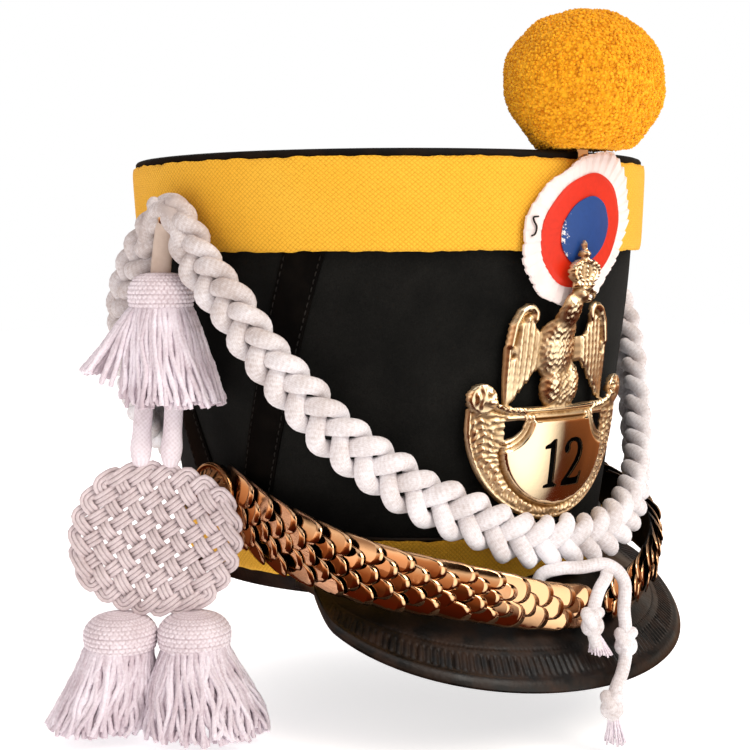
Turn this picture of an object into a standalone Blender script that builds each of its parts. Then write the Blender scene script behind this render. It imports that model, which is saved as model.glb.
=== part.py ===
"""A shako: felt crown, leather peak, brass eagle plate, scaled chin straps and a braided cordon.

Metres, +Z up. The origin is the centre of the head opening, the front is -Y, and the wearer's
right side, which carries the tassels, is -X.
"""
import math

import bmesh
import bpy
from mathutils import Matrix, Vector

MM = 0.001
GAP = 0.3 * MM  # clearance between a piece and what carries it
AROUND = 36  # sides of everything that goes round the crown

# Crown: an oval head opening that widens to a round top.
CROWN_HEIGHT = 185 * MM
BASE_HALF_WIDTH = 88 * MM
BASE_HALF_LENGTH = 100 * MM
TOP_RADIUS = 117.5 * MM
CROWN_BULGE = 2 * MM  # how far the side swells half way up
FELT_WALL = 2.5 * MM
FELT_TOP = 183.5 * MM
LEATHER = 1.2 * MM
TOP_RIM_RISE = 3.3 * MM  # height of the leather rim over the wool band

# Bands round the crown
TOP_BAND_LOW = 147 * MM
TOP_BAND_PROUD = (4.5 * MM, 3.0 * MM)  # outer face from the felt, at its lower and upper edge
TOP_SKIRT_PROUD = (2.1 * MM, 0.9 * MM)
BASE_BAND = (0.5 * MM, 27.2 * MM)  # lower and upper edge
LOWER_BAND = (7.5 * MM, 25.8 * MM)
WOOL_BAND = 1.8 * MM

# Leather V on each side
CHEVRON_TOP_ANGLE = 28.0  # degrees between an arm's middle and the side of the hat
CHEVRON_FOOT_ANGLE = 6.5
CHEVRON_HALF_WIDTH = 4.6  # degrees
CHEVRON_HEIGHTS = (30 * MM, 146 * MM)
CHEVRON_ROWS = (0.0, 0.08, 0.38, 0.69, 1.0)  # shares of the height; the arms join below the second
CHEVRON_STAND_OFF = 0.7 * MM

# Visor: its edge is an ellipse in plan that drops towards the front.
VISOR_HALF_WIDTH = 104.8 * MM
VISOR_REACH = 81.3 * MM
VISOR_CENTRE_Y = -60.2 * MM
VISOR_SIDE_Z = 7.5 * MM
VISOR_FRONT_Z = -32.3 * MM
VISOR_DROP_POWER = 0.658
VISOR_SWEEP = 100.0  # degrees each side of the front
VISOR_SEAM_SHARE = 0.72  # share of that sweep that is sewn to the crown
VISOR_CROWNING = 4 * MM
VISOR_SEAM_Z = (3.0 * MM, 6.0 * MM)  # at the front and at its ends
VISOR_THICKNESS = 2.6 * MM
VISOR_TAPER_FROM = 80.0  # degrees; from here its width shrinks towards its ends
VISOR_END_SHARE = 0.25  # width left at its ends

# Pompom and cockade
POMPOM_CENTRE = Vector((0, -118 * MM, 217.5 * MM))
POMPOM_RADII = (34.6 * MM, 34.6 * MM, 30.2 * MM)
POMPOM_LOWER_RADIUS = 34 * MM  # downwards; it is flat where it rests on the top
POMPOM_SEAT = 189 * MM
STEM_PROUD = (4.8 * MM, 5.6 * MM)
STEM_HALF_WIDTH = 3 * MM
COCKADE_Z = 155.2 * MM
COCKADE_SHIFT = -6 * MM  # it sits a little towards the wearer's right
COCKADE_RADII = {"white": 32.3 * MM, "red": 23.5 * MM, "blue": 14.0 * MM}
COCKADE_BACK = {"white": 6.4 * MM, "red": 7.9 * MM, "blue": 8.9 * MM}
COCKADE_THICKNESS = {"white": 1.2 * MM, "red": 0.7 * MM, "blue": 0.9 * MM}
COCKADE_PLEATS = 20
PLEAT_DEPTH = 0.8 * MM

# Brass plate: flat outlines in millimetres from its middle line, later bent round the crown.
PLATE_SHIFT = -10.7 * MM  # it sits a little towards the wearer's right
PLATE_SHEET = 1.0  # thickness
PLATE_STAND_OFF = 3.0 * MM
PLATE_LEAN_FROM = 104 * MM  # above this the eagle leans forward to clear the cockade
PLATE_LEAN_TO = 123 * MM
PLATE_LEAN = 7.6 * MM
PLATE_LEAN_SIDES = (9.5 * MM, 16 * MM)  # the neck and head lean fully, the wings not at all
PLATE_STRIP = 15.0  # widest flat face before it is bent
SHIELD_HALF_WIDTH = 47.5
FIELD_HALF_WIDTH = 31.0
SHIELD_BOTTOM = 32.5
FIELD_BOTTOM = 35.5
FIELD_RISE = 4.9
NUMBER_HEIGHT = 21.0
NUMBER_BASE = 47.0

# Chin scales: route of the strap's middle, in degrees from the front, radius and height.
CHIN_ROUTE = (
    # degrees, radius mm, height mm
    (3.0, 127.0, -3.0),
    (15.0, 126.5, 1.0),
    (30.0, 126.0, 9.0),
    (45.0, 122.0, 15.5),
    (60.0, 114.0, 23.0),
    (75.0, 105.5, 30.8),
    (92.0, 101.4, 41.0),
)
CHIN_HALF_WIDTH = (8.0 * MM, 15.8 * MM)  # at the front end and under the rosette
CHIN_ROWS = 15
CHIN_TILT = 0.16  # at the rosette the strap leans outwards like the crown
CHIN_BARE_END = 18 * MM  # without scales, under the rosette
SCALE_LIFT = (0.5 * MM, 1.7 * MM)
CHIN_BACKING = 1.4 * MM
ROSETTE_Z = 42 * MM
ROSETTE_STUD_X = 103.6 * MM
ROSETTE_RADIUS = 14 * MM

# Cordon: route of the front festoon from the front to the hook, same columns.
CORDON_ROUTE = (
    # degrees, radius mm, height mm
    (0.0, 117.7, 23.2),
    (11.7, 117.9, 25.1),
    (21.3, 118.0, 31.2),
    (29.8, 117.7, 39.3),
    (37.9, 118.0, 48.1),
    (45.8, 119.1, 58.7),
    (53.4, 121.5, 72.3),
    (61.0, 125.1, 89.4),
    (67.5, 128.4, 107.6),
    (73.2, 130.2, 124.4),
    (79.4, 129.8, 138.9),
    (84.0, 128.8, 152.1),
    (88.2, 128.2, 166.4),
)
REAR_DROP_SHARE = 0.86  # the rear festoon hangs a little less deep
CORDON_HALF_WIDTH = 8.6 * MM
CORDON_HALF_DEPTH = 5.3 * MM
CORDON_LOBE = 6.5 * MM  # length of half a lobe
CORDON_SWAY = 1.7 * MM
HOOK_Z = 160.8 * MM
HOOK_TIP_X = 133 * MM

# Tassel group on the wearer's right
TASSEL_AXIS = Vector((-131 * MM, 2.5 * MM, 0))
UPPER_FOOT_SHIFT = (3.0 * MM, -2.8 * MM)  # its foot lies a little towards the front
TASSEL_LOOP_RADIUS = 4 * MM
RACQUET_CENTRE = Vector((-136.6 * MM, 1.6 * MM, 25.8 * MM))
RACQUET_HEADING = 43.4  # degrees its face is turned from the front to the wearer's right
RACQUET_HALF_WIDTH = 38.5 * MM
RACQUET_HALF_HEIGHT = 34.5 * MM
RACQUET_THICKNESS = 7 * MM
RACQUET_SCALLOPS = 14
RACQUET_HOLE = 1.5 * MM
RACQUET_HOLE_STEP = 13 * MM
CORD_RADIUS = 4 * MM
TASSEL_LOCKS = 9
LOWER_TASSELS = (
    # node, mm across the mat, mm down to its neck, spread of the skirt, mm that its foot moves aside and ahead
    ("tassel_lower_rear", -15.6, 6.9, 0.96, -10.6, -2.5),
    ("tassel_lower_front", 15.9, 6.6, 1.08, 5.6, 7.0),
)

# Laces that tie the straps in front, as points in millimetres
LACE_RADIUS = 2.75 * MM
LACE_UPPER = (
    (-29.3, -117.6, 3.0),
    (-26.6, -118.4, 11.8),
    (-20.6, -123.8, 14.6),
    (-13.3, -129.0, 14.8),
    (-4.3, -136.0, 15.6),
    (0.9, -140.5, 8.5),
    (-1.0, -142.0, -3.0),
    (-1.7, -143.3, -8.6),
)
KNOT_UPPER = (-2.1, -144.0, -15.5)
LACE_LOWER = ((-3.2, -144.6, -22.3), (-7.5, -146.2, -28.0), (-11.6, -146.6, -32.9))
KNOT_LOWER = (-14.5, -146.5, -39.2)
LACE_SHORT = ((-6.5, -136.8, 10.9), (-11.0, -137.0, 6.5), (-15.2, -138.0, 1.4))
KNOT_SHORT = (-17.6, -138.6, -5.3)
KNOT_RADIUS = 6.2 * MM
TUFT_LONG = ((-13.4, -146.5, -45.9), (-11.8, -146.5, -57.5))
TUFT_SHORT = ((-16.2, -138.6, -11.9), (-12.4, -138.9, -21.0))

COLOURS = {
    # name: (red, green, blue, roughness, metallic)
    "felt": (0.012, 0.012, 0.013, 0.95, 0.0),
    "black_leather": (0.015, 0.013, 0.012, 0.35, 0.0),
    "yellow_wool": (0.80, 0.42, 0.035, 0.9, 0.0),
    "white_cotton": (0.80, 0.77, 0.74, 0.8, 0.0),
    "white_leather": (0.82, 0.80, 0.78, 0.6, 0.0),
    "red_paint": (0.70, 0.03, 0.02, 0.5, 0.0),
    "blue_paint": (0.02, 0.07, 0.30, 0.4, 0.0),
    "stamped_brass": (0.66, 0.42, 0.16, 0.3, 1.0),
    "polished_brass": (0.72, 0.47, 0.22, 0.15, 1.0),
}


# ---------------------------------------------------------------- helpers


def clear_scene():
    for old in list(bpy.data.objects):
        bpy.data.objects.remove(old, do_unlink=True)


def material(name):
    made = bpy.data.materials.get(name)
    if made:
        return made
    red, green, blue, roughness, metallic = COLOURS[name]
    made = bpy.data.materials.new(name)
    made.use_nodes = True
    shader = made.node_tree.nodes["Principled BSDF"]
    shader.inputs["Base Color"].default_value = (red, green, blue, 1)
    shader.inputs["Roughness"].default_value = roughness
    shader.inputs["Metallic"].default_value = metallic
    made.diffuse_color = (red, green, blue, 1)
    return made


def add_object(name, bm, finish, sharp_angle=40):
    """Make the bmesh an object with outward faces and the named finish."""
    bmesh.ops.recalc_face_normals(bm, faces=bm.faces)
    mesh = bpy.data.meshes.new(name)
    bm.to_mesh(mesh)
    bm.free()
    mesh.shade_smooth()
    mesh.set_sharp_from_angle(angle=math.radians(sharp_angle))
    made = bpy.data.objects.new(name, mesh)
    made.data.materials.append(material(finish))
    bpy.context.scene.collection.objects.link(made)
    return made


def loft(loops, wrap_loops=False):
    """Join loops of equal length with quads. An open end is closed with one face.

    A loop of a single point is a pole. wrap_loops joins the last loop to the first.
    """
    bm = bmesh.new()
    rows = [[bm.verts.new(point) for point in loop] for loop in loops]
    pairs = list(zip(rows, rows[1:]))
    if wrap_loops:
        pairs.append((rows[-1], rows[0]))
    for low, high in pairs:
        count = max(len(low), len(high))
        for i in range(count):
            j = (i + 1) % count
            if len(low) == 1:
                bm.faces.new((low[0], high[j], high[i]))
            elif len(high) == 1:
                bm.faces.new((low[i], low[j], high[0]))
            else:
                bm.faces.new((low[i], low[j], high[j], high[i]))
    if not wrap_loops:
        for row in (rows[0], rows[-1]):
            if len(row) > 2:
                bm.faces.new(row)
    return bm


def catmull(points, step):
    """Points along a smooth curve through the given ones, about a step apart."""
    points = [Vector(p) for p in points]
    padded = [2 * points[0] - points[1], *points, 2 * points[-1] - points[-2]]
    dense = []
    for a, b, c, d in zip(padded, padded[1:], padded[2:], padded[3:]):
        for k in range(24):
            t = k / 24
            dense.append(
                0.5 * (2 * b + (c - a) * t + (2 * a - 5 * b + 4 * c - d) * t * t
                       + (3 * b - a - 3 * c + d) * t ** 3)
            )
    dense.append(points[-1])
    length = sum((b - a).length for a, b in zip(dense, dense[1:]))
    count = max(2, round(length / step))
    spaced, walked, target = [dense[0]], 0.0, length / count
    for a, b in zip(dense, dense[1:]):
        piece = (b - a).length
        while walked + piece >= target * len(spaced) and len(spaced) < count:
            share = (target * len(spaced) - walked) / piece
            spaced.append(a.lerp(b, share))
        walked += piece
    spaced.append(dense[-1])
    return spaced


def polar(degrees, radius_mm, height_mm):
    """Point at an angle from the front, positive towards the wearer's left."""
    angle = math.radians(degrees)
    return Vector((radius_mm * math.sin(angle), -radius_mm * math.cos(angle), height_mm)) * MM


def crown_section(z):
    """Half width and half length of the felt's outer oval at height z."""
    t = z / CROWN_HEIGHT
    bulge = 4 * CROWN_BULGE * t * (1 - t)
    return (
        BASE_HALF_WIDTH + (TOP_RADIUS - BASE_HALF_WIDTH) * t + bulge,
        BASE_HALF_LENGTH + (TOP_RADIUS - BASE_HALF_LENGTH) * t + bulge,
    )


def crown_point(angle, z, proud=0.0):
    """Point at an angle from the front that stands out from the felt's outer face."""
    half_width, half_length = crown_section(z)
    return Vector((
        (half_width + proud) * math.sin(angle),
        -(half_length + proud) * math.cos(angle),
        z,
    ))


def on_crown_front(across, z, proud):
    """Point at a distance across the front, measured round the crown."""
    half_length = crown_section(z)[1] + proud
    return crown_point(across / half_length, z, proud)


def around_crown(profile):
    """Loops round the crown, one for each (height, proud) of the profile. None is a pole."""
    loops = []
    for z, proud in profile:
        if proud is None:
            loops.append([Vector((0, 0, z))])
        else:
            turns = (2 * math.pi * i / AROUND for i in range(AROUND))
            loops.append([crown_point(turn, z, proud) for turn in turns])
    return loops


def mirrored(name, source, finish):
    """Copy of an object on the wearer's left of one on the right."""
    bm = bmesh.new()
    bm.from_mesh(source.data)
    bmesh.ops.scale(bm, vec=(-1, 1, 1), verts=bm.verts)
    bmesh.ops.reverse_faces(bm, faces=bm.faces)
    return add_object(name, bm, finish)


# ---------------------------------------------------------------- crown


def build_crown():
    felt = [
        (0.0, 0.0), (0.3 * FELT_TOP, 0.0), (0.65 * FELT_TOP, 0.0), (FELT_TOP, 0.0),
        (FELT_TOP, -FELT_WALL), (0.5 * FELT_TOP, -FELT_WALL), (0.0, -FELT_WALL),
    ]
    add_object("crown_felt", loft(around_crown(felt), wrap_loops=True), "felt")

    under = FELT_TOP + GAP
    disc = under + 2 * MM
    rim = CROWN_HEIGHT + TOP_RIM_RISE
    skirt_foot = TOP_BAND_LOW + 3 * MM
    top = [
        (disc, None),
        (disc + 0.5 * MM, -0.07 * TOP_RADIUS),
        (rim, -2.5 * MM),
        (rim - 0.4 * MM, 0.6 * MM),
        (disc, TOP_SKIRT_PROUD[1]),
        (skirt_foot, TOP_SKIRT_PROUD[0]),
        (skirt_foot, GAP),
        (under, GAP),
        (under, None),
    ]
    add_object("crown_top", loft(around_crown(top)), "black_leather")


def band_profile(low, high, inner, outer):
    """Flat band between two heights; inner and outer hold (lower, upper) distances."""
    return [(low, outer[0]), (high, outer[1]), (high, inner[1]), (low, inner[0])]


def build_bands():
    top = band_profile(
        TOP_BAND_LOW, CROWN_HEIGHT,
        [proud + 2 * GAP for proud in TOP_SKIRT_PROUD], TOP_BAND_PROUD,
    )
    add_object("top_band", loft(around_crown(top), wrap_loops=True), "yellow_wool")
    leather_face = GAP + LEATHER
    base = band_profile(*BASE_BAND, (GAP, GAP), (leather_face, leather_face))
    add_object("base_band", loft(around_crown(base), wrap_loops=True), "black_leather")
    wool_back = leather_face + GAP
    wool_face = wool_back + WOOL_BAND
    wool = band_profile(*LOWER_BAND, (wool_back, wool_back), (wool_face, wool_face))
    add_object("lower_band", loft(around_crown(wool), wrap_loops=True), "yellow_wool")


def build_chevron(name, side):
    """V of leather: at each height both arms, which join where they meet at the foot."""
    low, high = CHEVRON_HEIGHTS
    rows = len(CHEVRON_ROWS)
    columns = 3
    bm = bmesh.new()

    def column_angles(share):
        middle = CHEVRON_FOOT_ANGLE + (CHEVRON_TOP_ANGLE - CHEVRON_FOOT_ANGLE) * share
        inner = middle - CHEVRON_HALF_WIDTH
        arm = [inner + 2 * CHEVRON_HALF_WIDTH * c / (columns - 1) for c in range(columns)]
        return [-a for a in reversed(arm)] + arm

    grids = []
    for proud in (CHEVRON_STAND_OFF, CHEVRON_STAND_OFF + LEATHER):
        grids.append([
            [bm.verts.new(crown_point(math.radians(90 * side + a), low + (high - low) * share, proud))
             for a in column_angles(share)]
            for share in CHEVRON_ROWS
        ])
    back, face = grids
    middle = columns - 1
    for row in range(rows - 1):
        for col in range(2 * columns - 1):
            if col == middle:
                continue
            for grid in grids:
                bm.faces.new((grid[row][col], grid[row][col + 1],
                              grid[row + 1][col + 1], grid[row + 1][col]))
        for col in (0, middle, middle + 1, 2 * columns - 1):
            bm.faces.new((back[row][col], back[row + 1][col],
                          face[row + 1][col], face[row][col]))
    for row in (0, rows - 1):
        for col in range(2 * columns - 1):
            if col == middle and row:
                continue
            bm.faces.new((back[row][col], back[row][col + 1],
                          face[row][col + 1], face[row][col]))
    # The foot: a web between the arms makes the V one piece.
    for grid in grids:
        bm.faces.new((grid[0][middle], grid[0][middle + 1],
                      grid[1][middle + 1], grid[1][middle]))
    for face_on_wall in list(bm.faces):
        corners = set(face_on_wall.verts)
        for col in (middle, middle + 1):
            if corners == {back[0][col], back[1][col], face[1][col], face[0][col]}:
                bm.faces.remove(face_on_wall)
                break
    bm.faces.new((back[1][middle], back[1][middle + 1],
                  face[1][middle + 1], face[1][middle]))
    add_object(name, bm, "black_leather")


# ---------------------------------------------------------------- visor


def visor_edge(angle):
    """Outer edge of the visor at an angle from the front."""
    drop = max(0.0, math.cos(angle)) ** VISOR_DROP_POWER
    return Vector((
        VISOR_HALF_WIDTH * math.sin(angle),
        VISOR_CENTRE_Y - VISOR_REACH * math.cos(angle),
        VISOR_SIDE_Z + (VISOR_FRONT_Z - VISOR_SIDE_Z) * drop,
    ))


def visor_width_share(angle):
    """Share of the full width at an angle: less towards the two ends."""
    start, end = math.radians(VISOR_TAPER_FROM), math.radians(VISOR_SWEEP)
    share = min(1.0, max(0.0, (abs(angle) - start) / (end - start)))
    return 1 - (1 - VISOR_END_SHARE) * share * share * (3 - 2 * share)


def build_visor():
    columns = 29
    sweep = math.radians(VISOR_SWEEP)
    seam_proud = 2 * GAP + LEATHER
    # (share of the way out, extra height) along the upper face, then the lower one
    upper = ((0.0, 0.0), (0.35, 0.0), (0.68, 0.0), (0.86, 0.0), (0.93, 0.6 * MM), (1.0, 0.0))
    lower = ((0.985, -1.35), (0.5, -1.3), (0.0, -1.0))
    sections = []
    for c in range(columns):
        angle = sweep * (2 * c / (columns - 1) - 1)
        seam_z = VISOR_SEAM_Z[0] + (VISOR_SEAM_Z[1] - VISOR_SEAM_Z[0]) * (angle / sweep) ** 2
        crowning = VISOR_CROWNING * max(0.0, math.cos(angle))
        seam = crown_point(angle * VISOR_SEAM_SHARE, seam_z, seam_proud)
        edge = seam.lerp(visor_edge(angle), visor_width_share(angle))

        def at(share):
            point = seam.lerp(edge, share)
            point.z += 4 * crowning * share * (1 - share)
            return point

        section = [at(share) + Vector((0, 0, lift)) for share, lift in upper]
        section += [at(share) + Vector((0, 0, times * VISOR_THICKNESS)) for share, times in lower]
        sections.append(section)
    add_object("visor", loft(sections), "black_leather")


# ---------------------------------------------------------------- pompom and cockade


def build_pompom():
    rings, sides = 9, 20
    loops = []
    for ring in range(rings + 1):
        polar_angle = math.pi * ring / rings
        tall = POMPOM_RADII[2] if math.cos(polar_angle) > 0 else POMPOM_LOWER_RADIUS
        if ring in (0, rings):
            z = POMPOM_CENTRE.z + tall * math.cos(polar_angle)
            loops.append([Vector((POMPOM_CENTRE.x, POMPOM_CENTRE.y, max(z, POMPOM_SEAT)))])
            continue
        loop = []
        for i in range(sides):
            turn = 2 * math.pi * (i + 0.5 * (ring % 2)) / sides
            lock = 1 + 0.02 * (-1) ** i
            offset = Vector((
                POMPOM_RADII[0] * math.sin(polar_angle) * math.cos(turn),
                POMPOM_RADII[1] * math.sin(polar_angle) * math.sin(turn),
                tall * math.cos(polar_angle),
            ))
            point = POMPOM_CENTRE + offset * lock
            point.z = max(point.z, POMPOM_SEAT)
            loop.append(point)
        loops.append(loop)
    add_object("pompom", loft(loops), "yellow_wool", 80)

    # The pin is a flat strip between the band and the cockade.
    low, high = 150 * MM, POMPOM_SEAT - GAP
    corners = [(low, STEM_PROUD[0]), (high, STEM_PROUD[0]), (high, STEM_PROUD[1]), (low, STEM_PROUD[1])]
    loops = [[on_crown_front(x, z, proud) for z, proud in corners]
             for x in (COCKADE_SHIFT - STEM_HALF_WIDTH, COCKADE_SHIFT + STEM_HALF_WIDTH)]
    add_object("pompom_stem", loft(loops), "stamped_brass")


def disc_on_crown(profile, sides, ripple=0.0):
    """Loops of a disc on the crown's front, one for each (radius, proud). Radius 0 is a pole."""
    loops = []
    for radius, proud in profile:
        if radius == 0:
            loops.append([on_crown_front(COCKADE_SHIFT, COCKADE_Z, proud)])
            continue
        loop = []
        for i in range(sides):
            turn = 2 * math.pi * i / sides
            fold = ripple * (i % 2) if radius == profile[2][0] else 0.0
            across = COCKADE_SHIFT + (radius - 0.5 * fold) * math.cos(turn)
            z = COCKADE_Z + (radius - 0.5 * fold) * math.sin(turn)
            loop.append(on_crown_front(across, z, proud + fold))
        loops.append(loop)
    return loops


def build_cockade():
    for colour, finish in (("white", "white_leather"), ("red", "red_paint"), ("blue", "blue_paint")):
        radius = COCKADE_RADII[colour]
        back = COCKADE_BACK[colour]
        face = back + COCKADE_THICKNESS[colour]
        profile = [(0, back), (radius, back), (radius, face), (0.74 * radius, face), (0, face)]
        ripple = PLEAT_DEPTH if colour == "white" else 0.0
        if colour != "white":
            profile.pop(3)
        sides = 2 * COCKADE_PLEATS if colour == "white" else 28
        add_object("cockade_" + colour, loft(disc_on_crown(profile, sides, ripple)), finish)


# ---------------------------------------------------------------- plate


def curve_solid(name, curve, lift=0.0):
    """Object made of the solid that a curve describes, moved by lift along its normal."""
    shaped = bpy.data.objects.new(name, curve)
    bpy.context.scene.collection.objects.link(shaped)
    bpy.context.view_layer.update()
    graph = bpy.context.evaluated_depsgraph_get()
    mesh = bpy.data.meshes.new_from_object(shaped.evaluated_get(graph))
    bpy.data.objects.remove(shaped, do_unlink=True)
    bm = bmesh.new()
    bm.from_mesh(mesh)
    bmesh.ops.remove_doubles(bm, verts=bm.verts, dist=1e-4)
    bmesh.ops.translate(bm, vec=(0, 0, lift), verts=bm.verts)
    return add_object(name, bm, "stamped_brass")


def flat_shape(name, outlines, low, high, bevel=0.0):
    """Closed solid from flat outlines in millimetres; later outlines are holes in the first."""
    curve = bpy.data.curves.new(name, "CURVE")
    curve.dimensions = "2D"
    curve.fill_mode = "BOTH"
    curve.extrude = (high - low) / 2 - bevel
    curve.bevel_depth = bevel
    curve.bevel_resolution = 0
    curve.offset = -bevel
    for outline in outlines:
        spline = curve.splines.new("POLY")
        spline.points.add(len(outline) - 1)
        for point, (x, z) in zip(spline.points, outline):
            point.co = (x, z, 0, 1)
        spline.use_cyclic_u = True
    return curve_solid(name, curve, (low + high) / 2)


def flat_ball(name, x, z, radii, low, sides=10, rings=5):
    """Dome with oval plan on the flat plate, from below its back to its own height."""
    loops = [[Vector((x + radii[0] * math.cos(a), z + radii[1] * math.sin(a), low))
              for a in (2 * math.pi * i / sides for i in range(sides))]]
    for ring in range(1, rings):
        tilt = math.pi / 2 * (ring - 1) / (rings - 1)
        loops.append([
            Vector((x + radii[0] * math.cos(tilt) * math.cos(a),
                    z + radii[1] * math.cos(tilt) * math.sin(a),
                    PLATE_SHEET + (radii[2] - PLATE_SHEET) * math.sin(tilt)))
            for a in (2 * math.pi * i / sides for i in range(sides))
        ])
    loops.append([Vector((x, z, radii[2]))])
    return add_object(name, loft(loops), "stamped_brass")


def flat_ridge(name, points, radius, height):
    """Half-round ridge along points (x, z) of the flat plate."""
    curve = bpy.data.curves.new(name, "CURVE")
    curve.dimensions = "3D"
    curve.bevel_depth = radius
    curve.bevel_resolution = 0
    curve.use_fill_caps = True
    spline = curve.splines.new("POLY")
    spline.points.add(len(points) - 1)
    for point, (x, z) in zip(spline.points, points):
        point.co = (x, z, height, 1)
    return curve_solid(name, curve)


def both_sides(outline):
    """Closed outline from its right half, listed from the top middle round to the bottom."""
    left = [(-x, z) for x, z in reversed(outline) if abs(x) > 1e-6]
    return list(outline) + left


def combine(target, others, operation):
    """Apply Booleans one after another and leave one plain mesh."""
    for other in others:
        cut = target.modifiers.new(operation.lower(), "BOOLEAN")
        cut.object = other
        cut.operation = operation
        cut.solver = "EXACT"
        bpy.context.view_layer.update()
        graph = bpy.context.evaluated_depsgraph_get()
        mesh = bpy.data.meshes.new_from_object(target.evaluated_get(graph))
        target.modifiers.clear()
        target.data = mesh
        bpy.data.objects.remove(other, do_unlink=True)
    return target


def shield_half():
    """Right half of the plate's lower part: bar, animal head, and the shield's outer edge."""
    head = [(0, 80.5), (30, 81.5), (33.5, 84.5), (36.5, 90.5), (42, 92.5), (47.5, 89.0), (48.5, 80)]
    edge = []
    for step in range(1, 8):
        angle = math.radians(90 * step / 8)
        edge.append((SHIELD_HALF_WIDTH * math.cos(angle),
                     76 - (76 - SHIELD_BOTTOM) * math.sin(angle)))
    return head + edge + [(0, SHIELD_BOTTOM)]


def build_plate():
    gap_by_neck = [(31.0, 76.5), (16.5, 77.0), (22.5, 72.0), (31.0, 68.0)]
    gap_by_neck_left = [(-x, z) for x, z in reversed(gap_by_neck)]
    plate = flat_shape(
        "eagle_plate", [both_sides(shield_half()), gap_by_neck, gap_by_neck_left], 0, PLATE_SHEET)

    parts = []
    field = [(16, 76)]
    for step in range(1, 6):
        angle = math.radians(90 * step / 6 - 8)
        field.append((FIELD_HALF_WIDTH * math.cos(angle),
                      67 - (67 - FIELD_BOTTOM) * math.sin(angle)))
    parts.append(flat_shape(
        "field", [both_sides([(0, 76.5), *field, (0, FIELD_BOTTOM)])], 0.3, FIELD_RISE, bevel=1.2))
    border = [(44, 84), (40.5, 74), (38.6, 62), (33.5, 50.5), (24, 40), (12.5, 34.2), (0, 32.6)]
    border += [(-x, z) for x, z in reversed(border[:-1])]
    parts.append(flat_ridge("border", border, 3.4, 1.2))
    for side in (-1, 1):
        wing = [(15.4, 122.5), (17.5, 124.8), (21.5, 125.0), (25.5, 122.8), (29.0, 117), (30.8, 107),
                (30.6, 95), (29.8, 80.7), (27.0, 80.9), (20.0, 90.5), (15.0, 98.0), (4.0, 100),
                (4.0, 110), (13.0, 111.0), (16.6, 116.5)]
        parts.append(flat_shape(
            "wing", [[(side * x, z) for x, z in wing]], 0.15, 2.3, bevel=0.4))
        for shift, top, foot in ((26.4, 113, 85), (20.8, 116, 94)):
            feather = [(side * shift, top), (side * (shift + 0.6), (top + foot) / 2),
                       (side * (shift - 0.4), foot)]
            parts.append(flat_ridge("feather", feather, 1.3, 1.9))
        parts.append(flat_ball("animal_head", side * 41.5, 86, (5.6, 5.2, 4.2), 0.2, 8, 4))
    parts.append(flat_ball("chest", -2.5, 105, (9.8, 14.5, 7.5), 0.3, 10, 5))
    parts.append(flat_ball("thighs", -0.8, 89, (10.8, 11.0, 5.5), 0.4, 10, 4))
    parts.append(flat_ball("neck", -2.0, 119, (4.4, 10.5, 5.4), 0.5, 8, 4))
    parts.append(flat_ball("head", 0.6, 128.8, (4.4, 3.9, 5.2), 0.6, 8, 4))
    parts.append(flat_shape(
        "beak", [[(2.5, 130.4), (6.4, 128.8), (7.2, 126.2), (3.4, 127.2)]], 0.9, 3.2))
    crown = [(0, 150.0), (1.8, 147.0), (1.8, 143.0), (5.0, 142.4), (8.8, 140.6), (9.0, 137.6),
             (5.8, 134.0), (5.6, 131.4), (0, 131.4)]
    parts.append(flat_shape("crown", [both_sides(crown)], 0.7, 4.2))
    for x, z in ((30, 52), (-30, 52), (0, 96)):
        parts.append(post(x, z))
    plate = combine(plate, parts, "UNION")
    plate = combine(plate, number_cutters(), "DIFFERENCE")

    bm = bmesh.new()
    bm.from_mesh(plate.data)
    bpy.data.objects.remove(plate, do_unlink=True)
    bmesh.ops.remove_doubles(bm, verts=bm.verts, dist=0.01)
    bmesh.ops.dissolve_limit(
        bm, angle_limit=math.radians(1), verts=bm.verts, edges=bm.edges, use_dissolve_boundaries=False)
    strips = math.ceil(2 * SHIELD_HALF_WIDTH / PLATE_STRIP)
    for k in range(strips + 1):
        cut_wide_faces(bm, 0, (k - strips / 2) * PLATE_STRIP)
    for lean_z in (PLATE_LEAN_FROM / MM, PLATE_LEAN_TO / MM):
        cut_wide_faces(bm, 1, lean_z)
    bmesh.ops.triangulate(bm, faces=bm.faces)
    for vert in bm.verts:
        across, z, height = vert.co * MM
        vert.co = on_crown_front(across + PLATE_SHIFT, z, height + plate_stand_off(across, z))
    add_object("eagle_plate", bm, "stamped_brass", 30)


def cut_wide_faces(bm, axis, position):
    """Cut the faces that reach across a plane x or z = position, unless they are small."""
    wide = []
    for face in bm.faces:
        reach = [vert.co[axis] for vert in face.verts]
        if min(reach) < position < max(reach) and max(reach) - min(reach) > PLATE_STRIP / 2:
            wide.append(face)
    edges = {edge for face in wide for edge in face.edges}
    verts = {vert for face in wide for vert in face.verts}
    normal = Vector((0, 0, 0))
    normal[axis] = 1
    bmesh.ops.bisect_plane(
        bm, geom=[*verts, *edges, *wide], plane_co=normal * position, plane_no=normal, dist=1e-4)


def plate_stand_off(across, z):
    """Distance of the plate's back from the felt: constant, but its neck and head lean forward."""
    lean = (z - PLATE_LEAN_FROM) / (PLATE_LEAN_TO - PLATE_LEAN_FROM)
    near, far = PLATE_LEAN_SIDES
    middle = (far - abs(across)) / (far - near)
    return PLATE_STAND_OFF + PLATE_LEAN * min(1.0, max(0.0, lean)) * min(1.0, max(0.0, middle))


def post(x, z):
    """Peg on the plate's back that reaches the felt."""
    reach = (PLATE_STAND_OFF - GAP) / MM - 0.2
    peg = bmesh.new()
    bmesh.ops.create_cone(
        peg, cap_ends=True, segments=6, radius1=1.5, radius2=1.5, depth=reach + 0.6,
        matrix=Matrix.Translation((x, z, (0.6 - reach) / 2)))
    return add_object("post", peg, "stamped_brass")


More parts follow.
